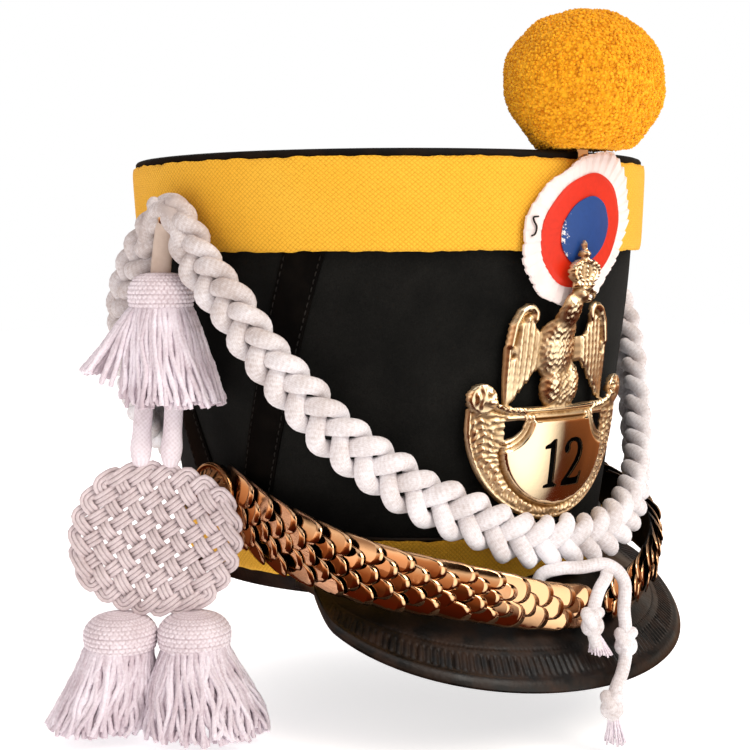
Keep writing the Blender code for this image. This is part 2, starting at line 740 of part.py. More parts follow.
def number_cutters():
    """The pierced number 12: each digit is an outline in units of its height."""
    one = [(0.06, 0), (0.42, 0), (0.42, 0.07), (0.33, 0.09), (0.33, 1.0), (0.24, 1.0),
           (0.02, 0.84), (0.05, 0.77), (0.17, 0.82), (0.17, 0.09), (0.06, 0.07)]
    two = [(0.0, 0.0), (0.60, 0.0), (0.63, 0.26), (0.55, 0.26), (0.50, 0.15), (0.24, 0.15),
           (0.42, 0.36), (0.58, 0.58), (0.60, 0.78), (0.48, 0.94), (0.29, 1.0), (0.10, 0.94),
           (0.0, 0.80), (0.03, 0.69), (0.14, 0.69), (0.18, 0.80), (0.28, 0.88), (0.37, 0.84),
           (0.41, 0.72), (0.36, 0.55), (0.18, 0.30), (0.0, 0.10)]
    cutters = []
    for digit, start in ((one, -11.5), (two, 0.5)):
        outline = [(start + NUMBER_HEIGHT * u, NUMBER_BASE + NUMBER_HEIGHT * v) for u, v in digit]
        cutters.append(flat_shape("digit", [outline], -2, 8))
    return cutters


# ---------------------------------------------------------------- chin scales


def strap_frames(route, step, tilt=0.0):
    """(middle, outward, across) at even steps along a strap or braid.

    tilt is how far the face looks down at the first point; it fades towards the last one.
    """
    middles = catmull([polar(*row) for row in route], step)
    last = len(middles) - 1
    frames = []
    for i, middle in enumerate(middles):
        along = (middles[min(i + 1, last)] - middles[max(i - 1, 0)]).normalized()
        outward = Vector((middle.x, middle.y, 0)).normalized() - Vector((0, 0, tilt * (1 - i / last)))
        outward = (outward - along * outward.dot(along)).normalized()
        frames.append((middle, outward, along.cross(outward)))
    return frames


def build_chin_scales(name):
    """Right strap: rows of three overlapping lobes on a leather backing, from the rosette on."""
    route = [(-degrees, radius, height) for degrees, radius, height in reversed(CHIN_ROUTE)]
    fine = strap_frames(route, 1 * MM, CHIN_TILT)
    length = len(fine) - 1.0
    lobes_across = 9

    def station(distance, lowest_lift, scalloped, row):
        """One cross-section whose scaly side bows forward in three lobes."""
        share = min(1.0, distance / length)
        half = CHIN_HALF_WIDTH[1] + (CHIN_HALF_WIDTH[0] - CHIN_HALF_WIDTH[1]) * share
        points = []
        for i in range(lobes_across + 1):
            u = i / lobes_across
            phase = (3 * u + 0.5 * (row % 2)) % 1.0
            bow = 2.6 * math.sin(math.pi * phase) if scalloped else 0.0
            middle, outward, across = fine[int(min(length, max(0, distance + bow)))]
            lift = lowest_lift + 0.5 * MM * math.sin(math.pi * u)
            points.append(middle + across * half * (1 - 2 * u) + outward * lift)
        middle, outward, across = fine[int(min(length, distance))]
        for u in (1.0, 0.0):
            points.append(middle + across * half * (1 - 2 * u) * 0.98 - outward * CHIN_BACKING)
        return points

    bare = CHIN_BARE_END / MM
    pitch = (length - bare - 4) / CHIN_ROWS
    sections = [station(0, 0.3 * MM, False, 0)]
    for row in range(CHIN_ROWS + 1):
        start = bare + row * pitch
        if row:
            sections.append(station(start - 0.6, SCALE_LIFT[1], True, row))
        sections.append(station(start + 0.6, SCALE_LIFT[0], True, row))
    sections.append(station(length, 0.3 * MM, False, 0))
    return add_object(name, loft(sections), "polished_brass", 25)


def build_rosette(name):
    """Turned boss on a stud, its axis along -X."""
    # (share of the radius, millimetres outwards)
    profile = ((0, 0), (0.33, 0), (0.33, 2.6), (1, 2.6), (1, 4.4),
               (0.79, 5.6), (0.73, 4.9), (0.5, 7.6), (0.22, 9.2), (0, 9.6))
    sides = 14
    loops = []
    for share, height in profile:
        if share == 0:
            loops.append([Vector((-ROSETTE_STUD_X - height * MM, 0, ROSETTE_Z))])
            continue
        loops.append([
            Vector((-ROSETTE_STUD_X - height * MM, share * ROSETTE_RADIUS * math.cos(a),
                    ROSETTE_Z + share * ROSETTE_RADIUS * math.sin(a)))
            for a in (2 * math.pi * i / sides for i in range(sides))
        ])
    return add_object(name, loft(loops), "polished_brass", 25)


# ---------------------------------------------------------------- cordon


def braid(name, route):
    """Flat plait as one solid: its sides swell by turns and its ends narrow."""
    frames = strap_frames(route, CORDON_LOBE)
    sections = []
    corner = ((1.0, 0.0), (0.55, 0.95), (-0.55, 0.95), (-1.0, 0.0), (-0.55, -0.9), (0.55, -0.9))
    last = len(frames) - 1
    for i, (middle, outward, across) in enumerate(frames):
        near_end = min(i, last - i)
        width = CORDON_HALF_WIDTH * min(1.0, 0.38 + 0.22 * near_end)
        sway = CORDON_SWAY * (-1) ** i * (0 if near_end == 0 else 1)
        sections.append([
            middle + across * (width * u + sway) + outward * CORDON_HALF_DEPTH * v
            for u, v in corner
        ])
    return add_object(name, loft(sections), "white_cotton", 60)


def build_cordon():
    right = [(-degrees, radius, height) for degrees, radius, height in reversed(CORDON_ROUTE)]
    braid("cordon_front", right + list(CORDON_ROUTE[1:]))
    top = CORDON_ROUTE[-1][2]
    rear = [(180 - degrees, radius, top - REAR_DROP_SHARE * (top - height))
            for degrees, radius, height in reversed(CORDON_ROUTE)]
    braid("cordon_rear", rear + [(360 - degrees, radius, height)
                                 for degrees, radius, height in reversed(rear[:-1])])


def build_hook(name):
    """Plate against the top band with a peg that carries the braids."""
    plate_x = crown_section(HOOK_Z)[0] + TOP_BAND_PROUD[0] + 0.2 * MM
    reach = (HOOK_TIP_X - plate_x) / MM
    # (radius, distance from the plate's back) in millimetres
    profile = ((0, 0), (5, 0), (5, 0.8), (1.4, 0.8), (1.4, reach - 1), (0, reach))
    sides = 8
    loops = []
    for radius, height in profile:
        x = -plate_x - height * MM
        if radius == 0:
            loops.append([Vector((x, 0, HOOK_Z))])
            continue
        loops.append([Vector((x, radius * MM * math.cos(a), HOOK_Z + radius * MM * math.sin(a)))
                      for a in (2 * math.pi * i / sides for i in range(sides))])
    return add_object(name, loft(loops), "stamped_brass")


# ---------------------------------------------------------------- tassels


def cord(name, points, radius):
    """Round tube with closed ends along a smooth curve through points."""
    curve = bpy.data.curves.new(name, "CURVE")
    curve.dimensions = "3D"
    curve.bevel_depth = radius
    curve.bevel_resolution = 2
    curve.use_fill_caps = True
    spline = curve.splines.new("POLY")
    spaced = catmull(points, 4.5 * radius)
    spline.points.add(len(spaced) - 1)
    for point, place in zip(spline.points, spaced):
        point.co = (*place, 1)
    made = bpy.data.objects.new(name, curve)
    made.data.materials.append(material("white_cotton"))
    bpy.context.scene.collection.objects.link(made)


def tassel(name, neck, profile, foot_shift, squash=(1.0, 1.0), hollow=()):
    """Head and skirt in locks.

    profile holds (radius, height below the neck, lock depth) in millimetres from the neck down,
    foot_shift moves the foot sideways, and hollow holds (radius, height) back up inside.
    """
    sides = 2 * TASSEL_LOCKS
    depth = max(row[1] for row in profile)
    loops = []
    for radius, below, lock in list(profile) + [(r, h, 0.0) for r, h in hollow]:
        centre = neck + Vector((foot_shift[0], foot_shift[1], 0)) * (below / depth) ** 2
        centre = centre - Vector((0, 0, below * MM))
        if radius == 0:
            loops.append([centre])
            continue
        loop = []
        for i in range(sides):
            angle = 2 * math.pi * i / sides
            reach = (radius + lock * (-1) ** i) * MM
            loop.append(centre + Vector((reach * squash[0] * math.cos(angle),
                                         reach * squash[1] * math.sin(angle), 0)))
        loops.append(loop)
    add_object(name, loft(loops), "white_cotton", 80)


def face_axes():
    """The racquet's sideways direction and the direction its face looks."""
    heading = math.radians(RACQUET_HEADING)
    sideways = Vector((math.cos(heading), -math.sin(heading), 0))
    look = Vector((-math.sin(heading), -math.cos(heading), 0))
    return sideways, look


def build_racquet():
    """Round mat of plaited cord: scalloped edge, and holes between the crossings."""
    sideways, look = face_axes()
    steps = 3 * RACQUET_SCALLOPS
    rim = []
    for i in range(steps):
        turn = 2 * math.pi * i / steps
        swell = 1 - 0.035 * (1 - abs(math.sin(RACQUET_SCALLOPS * turn / 2)))
        rim.append((RACQUET_HALF_WIDTH * swell * math.cos(turn),
                    RACQUET_HALF_HEIGHT * swell * math.sin(turn)))
    half = RACQUET_THICKNESS / 2
    # (share of the radius, share of the half thickness) from the back's rim to the front's
    section = ((0.93, -1.0), (1.0, -0.35), (1.0, 0.35), (0.93, 1.0))

    def place(across, up, out):
        return RACQUET_CENTRE + sideways * across + look * out + Vector((0, 0, up))

    loops = [[place(x * scale, z * scale, half * level) for x, z in rim] for scale, level in section]
    mat = add_object("racquet", loft(loops), "white_cotton", 80)
    reach = int(RACQUET_HALF_WIDTH / RACQUET_HOLE_STEP) + 1
    rotation = Matrix((sideways, Vector((0, 0, 1)), look)).transposed().to_4x4()
    holes = bmesh.new()
    for row in range(-reach, reach + 1):
        for column in range(-reach, reach + 1):
            across = RACQUET_HOLE_STEP * column
            up = RACQUET_HOLE_STEP * row
            if math.hypot(across / RACQUET_HALF_WIDTH, up / RACQUET_HALF_HEIGHT) > 0.8:
                continue
            at = Matrix.Translation(place(across, up, 0))
            bmesh.ops.create_cone(
                holes, cap_ends=True, segments=4, radius1=RACQUET_HOLE, radius2=RACQUET_HOLE,
                depth=2 * RACQUET_THICKNESS, matrix=at @ rotation)
    combine(mat, [add_object("holes", holes, "white_cotton")], "DIFFERENCE")


def build_tassels():
    top = Vector((TASSEL_AXIS.x, TASSEL_AXIS.y, 138.6 * MM))
    hang = HOOK_Z - 1.4 * MM - 3 * GAP
    cord("tassel_loop", [(-129.0 * MM, 0.0, hang), (-130.3 * MM, 1.2 * MM, 149 * MM),
                         (top.x, top.y, top.z + 2 * GAP)], TASSEL_LOOP_RADIUS)
    skirt = ((0, 0, 0), (9.5, 0.8, 0), (14.0, 5.5, 0), (14.6, 12.0, 0), (14.0, 15.5, 0.5),
             (19.5, 35.0, 0.8), (24.0, 58.0, 1.0))
    inside = ((18.5, 58.0), (13.5, 35.0), (10.5, 16.0), (0, 15.5))
    tassel("tassel_upper", top, skirt, UPPER_FOOT_SHIFT, (0.9, 1.05), inside)

    under_head = top.z - 15.5 * MM - 4 * GAP
    rim_top = RACQUET_CENTRE.z + RACQUET_HALF_HEIGHT + GAP
    cord("racquet_cord_front", [
        (-130.3 * MM, -2.2 * MM, under_head), (-130.0 * MM, -4.4 * MM, 92 * MM),
        (-131.2 * MM, -4.6 * MM, 72 * MM), (-131.9 * MM, -3.9 * MM, rim_top)], CORD_RADIUS)
    cord("racquet_cord_rear", [
        (-132.4 * MM, 6.4 * MM, under_head - 2 * GAP), (-136.6 * MM, 6.2 * MM, 92 * MM),
        (-139.4 * MM, 6.0 * MM, 72 * MM), (-140.6 * MM, 5.6 * MM, rim_top)], CORD_RADIUS)

    sideways, look = face_axes()
    # head and skirt; the skirt's last rows are scaled by each tassel's spread
    head = ((0, 0, 0), (4.0, 0.3, 0), (4.2, 2.0, 0), (11.5, 3.6, 0), (15.2, 8.5, 0), (15.0, 14.5, 0),
            (13.4, 17.5, 0.5))
    skirt = ((18.0, 33.0, 0.7), (22.5, 50.0, 1.0), (12.0, 52.0, 0), (0, 52.0, 0))
    for name, across, drop, spread, aside, ahead in LOWER_TASSELS:
        neck = RACQUET_CENTRE + sideways * across * MM
        neck.z = -drop * MM
        foot = (sideways * aside + look * ahead) * MM
        tassel(name, neck, head + tuple((spread * radius, below, lock) for radius, below, lock in skirt),
               (foot.x, foot.y))


# ---------------------------------------------------------------- laces


def knot(name, centre_mm):
    """Overhand knot as a lobed ball."""
    centre = Vector(centre_mm) * MM
    sides, rings = 8, 6
    loops = []
    for ring in range(rings + 1):
        tilt = math.pi * ring / rings
        if ring in (0, rings):
            loops.append([centre + Vector((0, 0, KNOT_RADIUS * math.cos(tilt)))])
            continue
        lobe = 1 + 0.08 * (-1) ** ring
        loops.append([
            centre + KNOT_RADIUS * Vector((lobe * math.sin(tilt) * math.cos(a) * 0.95,
                                           lobe * math.sin(tilt) * math.sin(a) * 0.8,
                                           math.cos(tilt)))
            for a in (2 * math.pi * i / sides for i in range(sides))
        ])
    add_object(name, loft(loops), "white_cotton", 80)


def tuft(name, ends_mm):
    """Frayed end: strands that spread from the lace."""
    start, end = (Vector(p) * MM for p in ends_mm)
    sides = 12
    # (share of the length, radius mm, lock depth mm)
    profile = ((0.0, 2.6, 0.0), (0.35, 3.0, 0.3), (0.8, 4.6, 0.5), (1.0, 5.2, 0.7))
    loops = []
    for share, radius, lock in profile:
        centre = start.lerp(end, share)
        loops.append([
            centre + Vector((math.cos(a), math.sin(a), 0)) * (radius + lock * (-1) ** i) * MM
            for i, a in enumerate(2 * math.pi * k / sides for k in range(sides))
        ])
    add_object(name, loft(loops), "white_cotton", 80)


def build_laces():
    for name, points in (("lace_upper", LACE_UPPER), ("lace_lower", LACE_LOWER),
                         ("lace_short", LACE_SHORT)):
        cord(name, [Vector(p) * MM for p in points], LACE_RADIUS)
    for name, centre in (("knot_upper", KNOT_UPPER), ("knot_lower", KNOT_LOWER),
                         ("knot_short", KNOT_SHORT)):
        knot(name, centre)
    tuft("tuft_long", TUFT_LONG)
    tuft("tuft_short", TUFT_SHORT)


def main():
    clear_scene()
    build_crown()
    build_bands()
    build_chevron("side_chevron_right", -1)
    build_chevron("side_chevron_left", 1)
    build_visor()
    build_pompom()
    build_cockade()
    build_plate()
    scales = build_chin_scales("chin_scales_right")
    mirrored("chin_scales_left", scales, "polished_brass")
    rosette = build_rosette("chin_rosette_right")
    mirrored("chin_rosette_left", rosette, "polished_brass")
    build_cordon()
    hook = build_hook("cordon_hook_right")
    mirrored("cordon_hook_left", hook, "stamped_brass")
    build_tassels()
    build_racquet()
    build_laces()


main()
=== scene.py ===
"""Looks of a shako hat: felt, wool, leather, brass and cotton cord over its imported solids.

Lengths are in metres unless a name ends in _mm. +Z is up, the hat's front looks along -Y, and
the wearer's right side, which carries the tassels, is -X.
"""
import logging
import math
from collections.abc import Callable, Sequence
from dataclasses import dataclass, field
from enum import Enum
from functools import cache, partial
from itertools import product

import bpy
import numpy as np
from mathutils import Matrix


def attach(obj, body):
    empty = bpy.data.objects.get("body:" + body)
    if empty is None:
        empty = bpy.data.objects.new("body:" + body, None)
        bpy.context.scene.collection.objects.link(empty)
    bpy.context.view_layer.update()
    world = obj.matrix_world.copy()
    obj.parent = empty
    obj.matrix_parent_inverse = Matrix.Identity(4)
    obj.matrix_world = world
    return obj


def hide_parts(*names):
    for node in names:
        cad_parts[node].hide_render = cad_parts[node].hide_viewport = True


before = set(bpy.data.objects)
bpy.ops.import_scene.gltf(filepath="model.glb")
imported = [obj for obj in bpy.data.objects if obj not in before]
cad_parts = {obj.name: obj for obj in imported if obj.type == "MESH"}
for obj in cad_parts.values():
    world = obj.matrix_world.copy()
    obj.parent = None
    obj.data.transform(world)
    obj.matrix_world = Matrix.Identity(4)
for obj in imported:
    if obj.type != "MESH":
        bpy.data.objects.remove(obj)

log = logging.getLogger("shako")

Array = np.ndarray
Colour = tuple[float, float, float, float]
Tree = bpy.types.NodeTree
Node = bpy.types.Node
Socket = bpy.types.NodeSocket
Thing = bpy.types.Object
Adder = Callable[..., Node]
Pair = tuple[float, float]
Spot = tuple[float, float, float]

MM = 0.001
BODY = "root"
TURN = 2 * math.pi
MIRRORED = np.array([-1.0, 1, 1])  # brings a place, or an angle with its radius and height, to the other side
LEVEL = np.array([1.0, 1, 0])


class Side(Enum):
    """A side of the wearer, with the sign of X on it."""

    RIGHT = -1
    LEFT = 1

    @property
    def label(self) -> str:
        """What it is called in the names of pieces."""
        return self.name.lower()


# ---- numbers


def mm(*values: float) -> tuple[float, ...]:
    """Millimetres as metres."""
    return tuple(value * MM for value in values)


def between(ends: Pair, share: float | Array) -> float | Array:
    """The value at a share of the way from the first end to the second."""
    return ends[0] + (ends[1] - ends[0]) * share


def bell(distance: Array, half: float) -> Array:
    """A smooth bump of height one and about that half width."""
    return np.exp(-(distance / half) ** 2)


def ramp(values: Array, start: float, end: float) -> Array:
    """From 0 at the start to 1 at the end."""
    return np.clip((values - start) / (end - start), 0, 1)


def half_round(share: Array) -> Array:
    """Height of a half circle of radius one, from the share of its radius."""
    return np.sqrt(np.clip(1 - share ** 2, 0, 1))


def blur_weights(reach: float, step: float) -> Array:
    """Weights that blur values, which lie that step apart, over that reach."""
    count = int(3 * reach / step)
    kernel = np.exp(-0.5 * (np.arange(-count, count + 1) * step / reach) ** 2)
    return kernel / kernel.sum()


def turn_angles(sides: int) -> Array:
    """Angles of points spread evenly round a turn."""
    return np.arange(sides) * TURN / sides


def chart(across: Array, up: Array) -> Array:
    """UV positions of a grid from those of its columns and its rows."""
    return np.stack(np.meshgrid(across, up), axis=-1)


# ---- colours and nodes


def linear(code: str) -> Colour:
    """Turn an sRGB colour into linear values.

    Args:
        code: The colour as "#rrggbb".

    Returns:
        Red, green, blue and alpha, linear.
    """
    values = [int(code[i:i + 2], 16) / 255 for i in (1, 3, 5)]
    return (*(v / 12.92 if v <= 0.04045 else ((v + 0.055) / 1.055) ** 2.4 for v in values), 1.0)


def per_mm(size_mm: float) -> float:
    """Texture scale that gives a pattern of that size in millimetres."""
    return 1000.0 / size_mm


def feed(tree: Tree, node: Node, feeds: dict) -> None:
    """Set or link inputs of a node.

    Args:
        tree: The node's tree.
        node: The node.
        feeds: Input name or number, to a value, a colour code, an output socket, or a node whose live output
            feeds it.
    """
    for key, value in feeds.items():
        if isinstance(value, Node):
            value = next(socket for socket in value.outputs if socket.enabled)
        if isinstance(value, Socket):
            tree.links.new(value, node.inputs[key])
        else:
            is_colour = isinstance(value, str) and value.startswith("#")
            node.inputs[key].default_value = linear(value) if is_colour else value


def wire(tree: Tree, kind: str, feeds: dict | None = None, **settings: object) -> Node:
    """Add a node with its settings and links.

    Args:
        tree: Node tree that gets the node.
        kind: Blender's identifier of the node's type, which may leave out "ShaderNode".
        feeds: What goes into its inputs, as for feed.
        **settings: Attributes of the node.

    Returns:
        The new node.
    """
    made = tree.nodes.new(kind if "Node" in kind else "ShaderNode" + kind)
    for key, value in settings.items():
        setattr(made, key, value)
    feed(tree, made, feeds or {})
    return made


# ---- finishes


def laid_waves(add: Adder, rates: Sequence[Pair]) -> list[Node]:
    """Sine waves on a piece's UV map, which holds distances in metres.

    Args:
        add: Adds a node to the material's tree, as wire does.
        rates: For each wave, radians per metre along each axis of the map.

    Returns:
        The node of each wave.
    """
    axes = add("SeparateXYZ", {0: add("UVMap", uv_map="UVMap")})
    made = []
    for across, up in rates:
        turned = add("Math", {0: axes.outputs[0], 1: across}, operation="MULTIPLY")
        moved = add("Math", {0: axes.outputs[1], 1: up, 2: turned}, operation="MULTIPLY_ADD")
        made.append(add("Math", {0: moved}, operation="SINE"))
    return made


@dataclass(frozen=True)
class Finish:
    """A surface as its maker would name it, for one of the record's material slots."""

    label: str
    slot: str

    def shade(self, add: Adder, place: Socket) -> dict:
        """Add the nodes of the surface.

        Args:
            add: Adds a node to the material's tree, as wire does.
            place: Position on the piece.

        Returns:
            What goes into the shader's inputs, as for feed.
        """
        raise NotImplementedError

    def material(self) -> bpy.types.Material:
        """The Blender material, made once."""
        made = bpy.data.materials.get(self.label)
        if made is None:
            made = bpy.data.materials.new(self.label)
            made.use_nodes = True
            tree = made.node_tree
            place = wire(tree, "TexCoord").outputs["Object"]
            feed(tree, tree.nodes["Principled BSDF"], self.shade(partial(wire, tree), place))
        return made


@dataclass(frozen=True)
class WoolFelt(Finish):
    """Fulled wool felt, which the eye sees as a deep black without gloss, cloudy where it was brushed."""

    dark: str = "#0d0e0d"
    light: str = "#1c1c1a"
    cloud_mm: float = 22.0
    fibre_mm: float = 1.1  # real fibres are too fine to show, so tufts of them are drawn

    def shade(self, add: Adder, place: Socket) -> dict:
        """Cloudy black with a fibrous bump."""
        cloud = add("TexNoise", {"Vector": place, "Scale": per_mm(self.cloud_mm), "Detail": 4.0})
        fibre = add("TexNoise", {
            "Vector": place, "Scale": per_mm(self.fibre_mm), "Detail": 3.0, "Roughness": 0.7, "Distortion": 1.5})
        share = add("Math", {0: cloud, 1: fibre}, operation="MULTIPLY")
        spread = add("MapRange", {"Value": share, "From Min": 0.12, "From Max": 0.42})
        return {"Base Color": add("Mix", {0: spread, 6: self.dark, 7: self.light}, data_type="RGBA"),
                "Normal": add("Bump", {"Strength": 0.6, "Distance": 0.25 * MM, "Height": fibre}),
                "Roughness": 0.95, "Specular IOR Level": 0.06, "Sheen Weight": 0.03, "Sheen Roughness": 0.5}


@dataclass(frozen=True)
class BlackLeather(Finish):
    """Tanned leather dyed black, whose pebbled grain breaks up a soft gloss; brown shows where it is rubbed."""

    dark: str = "#0d0b09"
    worn: str = "#1d150f"
    grain_mm: float = 1.6  # drawn coarser than real grain, which would be lost at this size
    grain_depth_mm: float = 0.09
    gloss: Pair = (0.3, 0.5)
    specular: float = 0.4

    def shade(self, add: Adder, place: Socket) -> dict:
        """Pebble grain from cells, gloss that varies with wear."""
        warp = add("TexNoise", {"Vector": place, "Scale": per_mm(9), "Detail": 3.0})
        cells = add("TexVoronoi", {
            "Vector": place, "Scale": per_mm(self.grain_mm), "Smoothness": 0.6}, feature="SMOOTH_F1")
        fine = add("TexNoise", {"Vector": place, "Scale": per_mm(0.7), "Detail": 2.0})
        grain = add("Math", {0: fine, 1: 0.35, 2: cells.outputs["Distance"]}, operation="MULTIPLY_ADD")
        wear = add("MapRange", {"Value": warp, "From Min": 0.42, "From Max": 0.72})
        rough = add("MapRange", {
            "Value": warp, "From Min": 0.3, "From Max": 0.7, "To Min": self.gloss[0], "To Max": self.gloss[1]})
        return {"Base Color": add("Mix", {0: wear, 6: self.dark, 7: self.worn}, data_type="RGBA"),
                "Normal": add("Bump", {
                    "Strength": 0.8, "Distance": self.grain_depth_mm * MM, "Height": grain}),
                "Roughness": rough, "IOR": 1.5, "Specular IOR Level": self.specular}


@dataclass(frozen=True)
class WovenWool(Finish):
    """Worsted braid, which reads as warm yellow with a fine lattice of picks and a fuzzy surface."""

    thread: str = "#f3b42f"
    shadow: str = "#c98917"
    faded: str = "#f9c243"
    pick_mm: float = 2.1  # picks drawn coarser than real, as wide as the lattice reads from a step away
    row_mm: float = 1.9

    def shade(self, add: Adder, place: Socket) -> dict:
        """Diamond picks on the UV map, under fuzz."""
        pick, row = math.pi / (self.pick_mm * MM), math.pi / (self.row_mm * MM)
        waves = laid_waves(add, [(pick, row), (-pick, row)])
        sides = [add("Math", {0: wave}, operation="ABSOLUTE") for wave in waves]
        picks = add("Math", dict(enumerate(sides)), operation="MINIMUM")
        fuzz = add("TexNoise", {"Vector": place, "Scale": per_mm(1.0), "Detail": 3.0, "Roughness": 0.7})
        height = add("Math", {0: fuzz, 1: 0.9, 2: picks}, operation="MULTIPLY_ADD")
        cloud = add("TexNoise", {"Vector": place, "Scale": per_mm(38), "Detail": 3.0})
        thread = add("Mix", {0: cloud, 6: self.thread, 7: self.faded}, data_type="RGBA")
        deep = add("MapRange", {"Value": height, "From Min": 0.2, "From Max": 0.95})
        return {"Base Color": add("Mix", {0: deep, 6: self.shadow, 7: thread}, data_type="RGBA"),
                "Normal": add("Bump", {"Strength": 0.7, "Distance": 0.3 * MM, "Height": height}),
                "Roughness": 0.9, "Specular IOR Level": 0.15, "Sheen Weight": 0.05}


@dataclass(frozen=True)
class WoolPile(Finish):
    """Clipped yarn ends, which look like plush: bright on the ends, with painted shade in darker orange specks that
    stand for the shade down between them.
    """

    thread: str = "#f4ac18"
    deep: str = "#cc8009"
    pale: str = "#fbbd2e"
    speck_mm: float = 2.0  # yarn ends drawn coarser than real, in tufts

    def shade(self, add: Adder, place: Socket) -> dict:
        """Mottled yarn colour."""
        speck = add("TexNoise", {"Vector": place, "Scale": per_mm(self.speck_mm), "Detail": 3.0})
        cloud = add("TexNoise", {"Vector": place, "Scale": per_mm(26), "Detail": 2.0})
        # painted shade: darker orange specks where the noise is low, for the shade down between the yarn ends
        shaded_specks = add("MapRange", {"Value": speck, "From Min": 0.3, "From Max": 0.6})
        thread = add("Mix", {0: cloud, 6: self.thread, 7: self.pale}, data_type="RGBA")
        hair = add("TexNoise", {"Vector": place, "Scale": per_mm(0.7), "Detail": 3.0})
        return {"Base Color": add("Mix", {0: shaded_specks, 6: self.deep, 7: thread}, data_type="RGBA"),
                "Normal": add("Bump", {"Strength": 0.6, "Distance": 0.4 * MM, "Height": hair}),
                "Roughness": 0.95, "Specular IOR Level": 0.1, "Sheen Weight": 0.08}


class Lay(Enum):
    """How a cotton cord's surface was made: waves round it and along it, per stitch."""

    JACKET = ((1.0, 0.6), (-1.0, 0.6))
    TWIST = ((1.0, 0.7), (0.2, 0.14))
    KNIT = ((0.8, 0.0), (0.0, 0.8))


@dataclass(frozen=True)
class CottonCord(Finish):
    """Bleached cotton: soft white without gloss, with painted shade in warm grey where the threads dip."""

    thread: str
    shadow: str
    lay: Lay
    handled: float = 0.0  # how much darker it is far from the hat's middle, towards the hooks
    stitch_mm: float = 1.7  # stitches drawn coarser than real, about two threads wide
    stitch_share: float = 0.25
    depth_mm: float = 0.12

    def shade(self, add: Adder, place: Socket) -> dict:
        """Threads on the UV map, soiled at random, with painted shade where the relief attribute is low, and darker far
        from the hat's middle.
        """
        rate = TURN / (self.stitch_mm * MM)
        waves = laid_waves(add, [(round_it * rate, along_it * rate) for round_it, along_it in self.lay.value])
        laid = add("Math", dict(enumerate(waves)), operation="ADD" if self.lay is Lay.TWIST else "MULTIPLY")
        hair = add("TexNoise", {"Vector": place, "Scale": per_mm(1.2), "Detail": 4.0, "Roughness": 0.65})
        height = add("Math", {0: laid, 1: self.stitch_share, 2: hair}, operation="MULTIPLY_ADD")
        soil = add("TexNoise", {"Vector": place, "Scale": per_mm(14), "Detail": 3.0})
        mixed = add("Math", {0: soil, 1: 1.2, 2: height}, operation="MULTIPLY_ADD")
        # painted shade: a low relief attribute, as in the grooves of the tassel heads and the inner strands, darkens
        # the colour
        stands = add("Attribute", attribute_name="relief").outputs["Fac"]
        mixed = add("Math", {0: stands, 1: 0.8, 2: mixed}, operation="MULTIPLY_ADD")
        # darker far from the hat's middle, towards the hooks
        far = add("VectorMath", {0: place}, operation="LENGTH").outputs["Value"]
        far_dark = add("MapRange", {"Value": far, "From Min": 0.14, "From Max": 0.21, "To Max": -self.handled})
        mixed = add("Math", {0: mixed, 1: far_dark}, operation="ADD")
        deep = add("MapRange", {"Value": mixed, "From Min": 1.35, "From Max": 2.15})
        return {"Base Color": add("Mix", {0: deep, 6: self.shadow, 7: self.thread}, data_type="RGBA"),
                "Normal": add("Bump", {"Strength": 0.6, "Distance": self.depth_mm * MM, "Height": height}),
                "Roughness": 0.9, "Specular IOR Level": 0.12, "Sheen Weight": 0.05}


@dataclass(frozen=True)
class PaintedLeather(Finish):
    """Leather painted by brush: a strong colour with faint strokes, and painted highlights along one side, white flecks
    that stand for glints.
    """

    colour: str
    flakes_mm: Pair | None = None  # from its left edge, where the painted glints are thick, to where they end
    # white of the painted glints
    bare: str = "#e9e4e2"

    def shade(self, add: Adder, place: Socket) -> dict:
        """Brushed paint, with white flecks as painted glints on the left of a piece that has them."""
        stroke = add("TexNoise", {"Vector": place, "Scale": per_mm(5), "Detail": 3.0, "Distortion": 2.0})
        light = tuple(min(1.0, 1.3 * c) for c in linear(self.colour))
        paint = add("Mix", {0: stroke, 6: self.colour, 7: light}, data_type="RGBA")
        # painted highlight: white flecks, thickest at the left edge, stand for glints
        if self.flakes_mm:
            across = add("SeparateXYZ", {0: add("UVMap", uv_map="UVMap")}).outputs[0]
            near = add("MapRange", {
                "Value": across, "From Min": self.flakes_mm[0] * MM, "From Max": self.flakes_mm[1] * MM,
                "To Min": 0.17, "To Max": -0.3})
            glint_noise = add("TexNoise", {"Vector": place, "Scale": per_mm(1.9), "Detail": 4.0, "Roughness": 0.7})
            over = add("Math", {0: glint_noise, 1: near}, operation="ADD")
            glint_share = add("MapRange", {"Value": over, "From Min": 0.63, "From Max": 0.68})
            paint = add("Mix", {0: glint_share, 6: paint, 7: self.bare}, data_type="RGBA")
        return {"Base Color": paint,
                "Normal": add("Bump", {"Strength": 0.3, "Distance": 0.12 * MM, "Height": stroke}),
                "Roughness": 0.42, "Specular IOR Level": 0.35}


@dataclass(frozen=True)
class TawedLeather(Finish):
    """Alum-tawed leather: chalky white, a little pink and grey in its folds."""

    colour: str
    fold: str

    def shade(self, add: Adder, place: Socket) -> dict:
        """Chalky white with soft blotches."""
        blotch = add("TexNoise", {"Vector": place, "Scale": per_mm(7), "Detail": 4.0})
        pore = add("TexNoise", {"Vector": place, "Scale": per_mm(0.8), "Detail": 2.0})
        return {"Base Color": add("Mix", {0: blotch, 6: self.fold, 7: self.colour}, data_type="RGBA"),
                "Normal": add("Bump", {"Strength": 0.35, "Distance": 0.15 * MM, "Height": pore}),
                "Roughness": 0.75, "Specular IOR Level": 0.25}


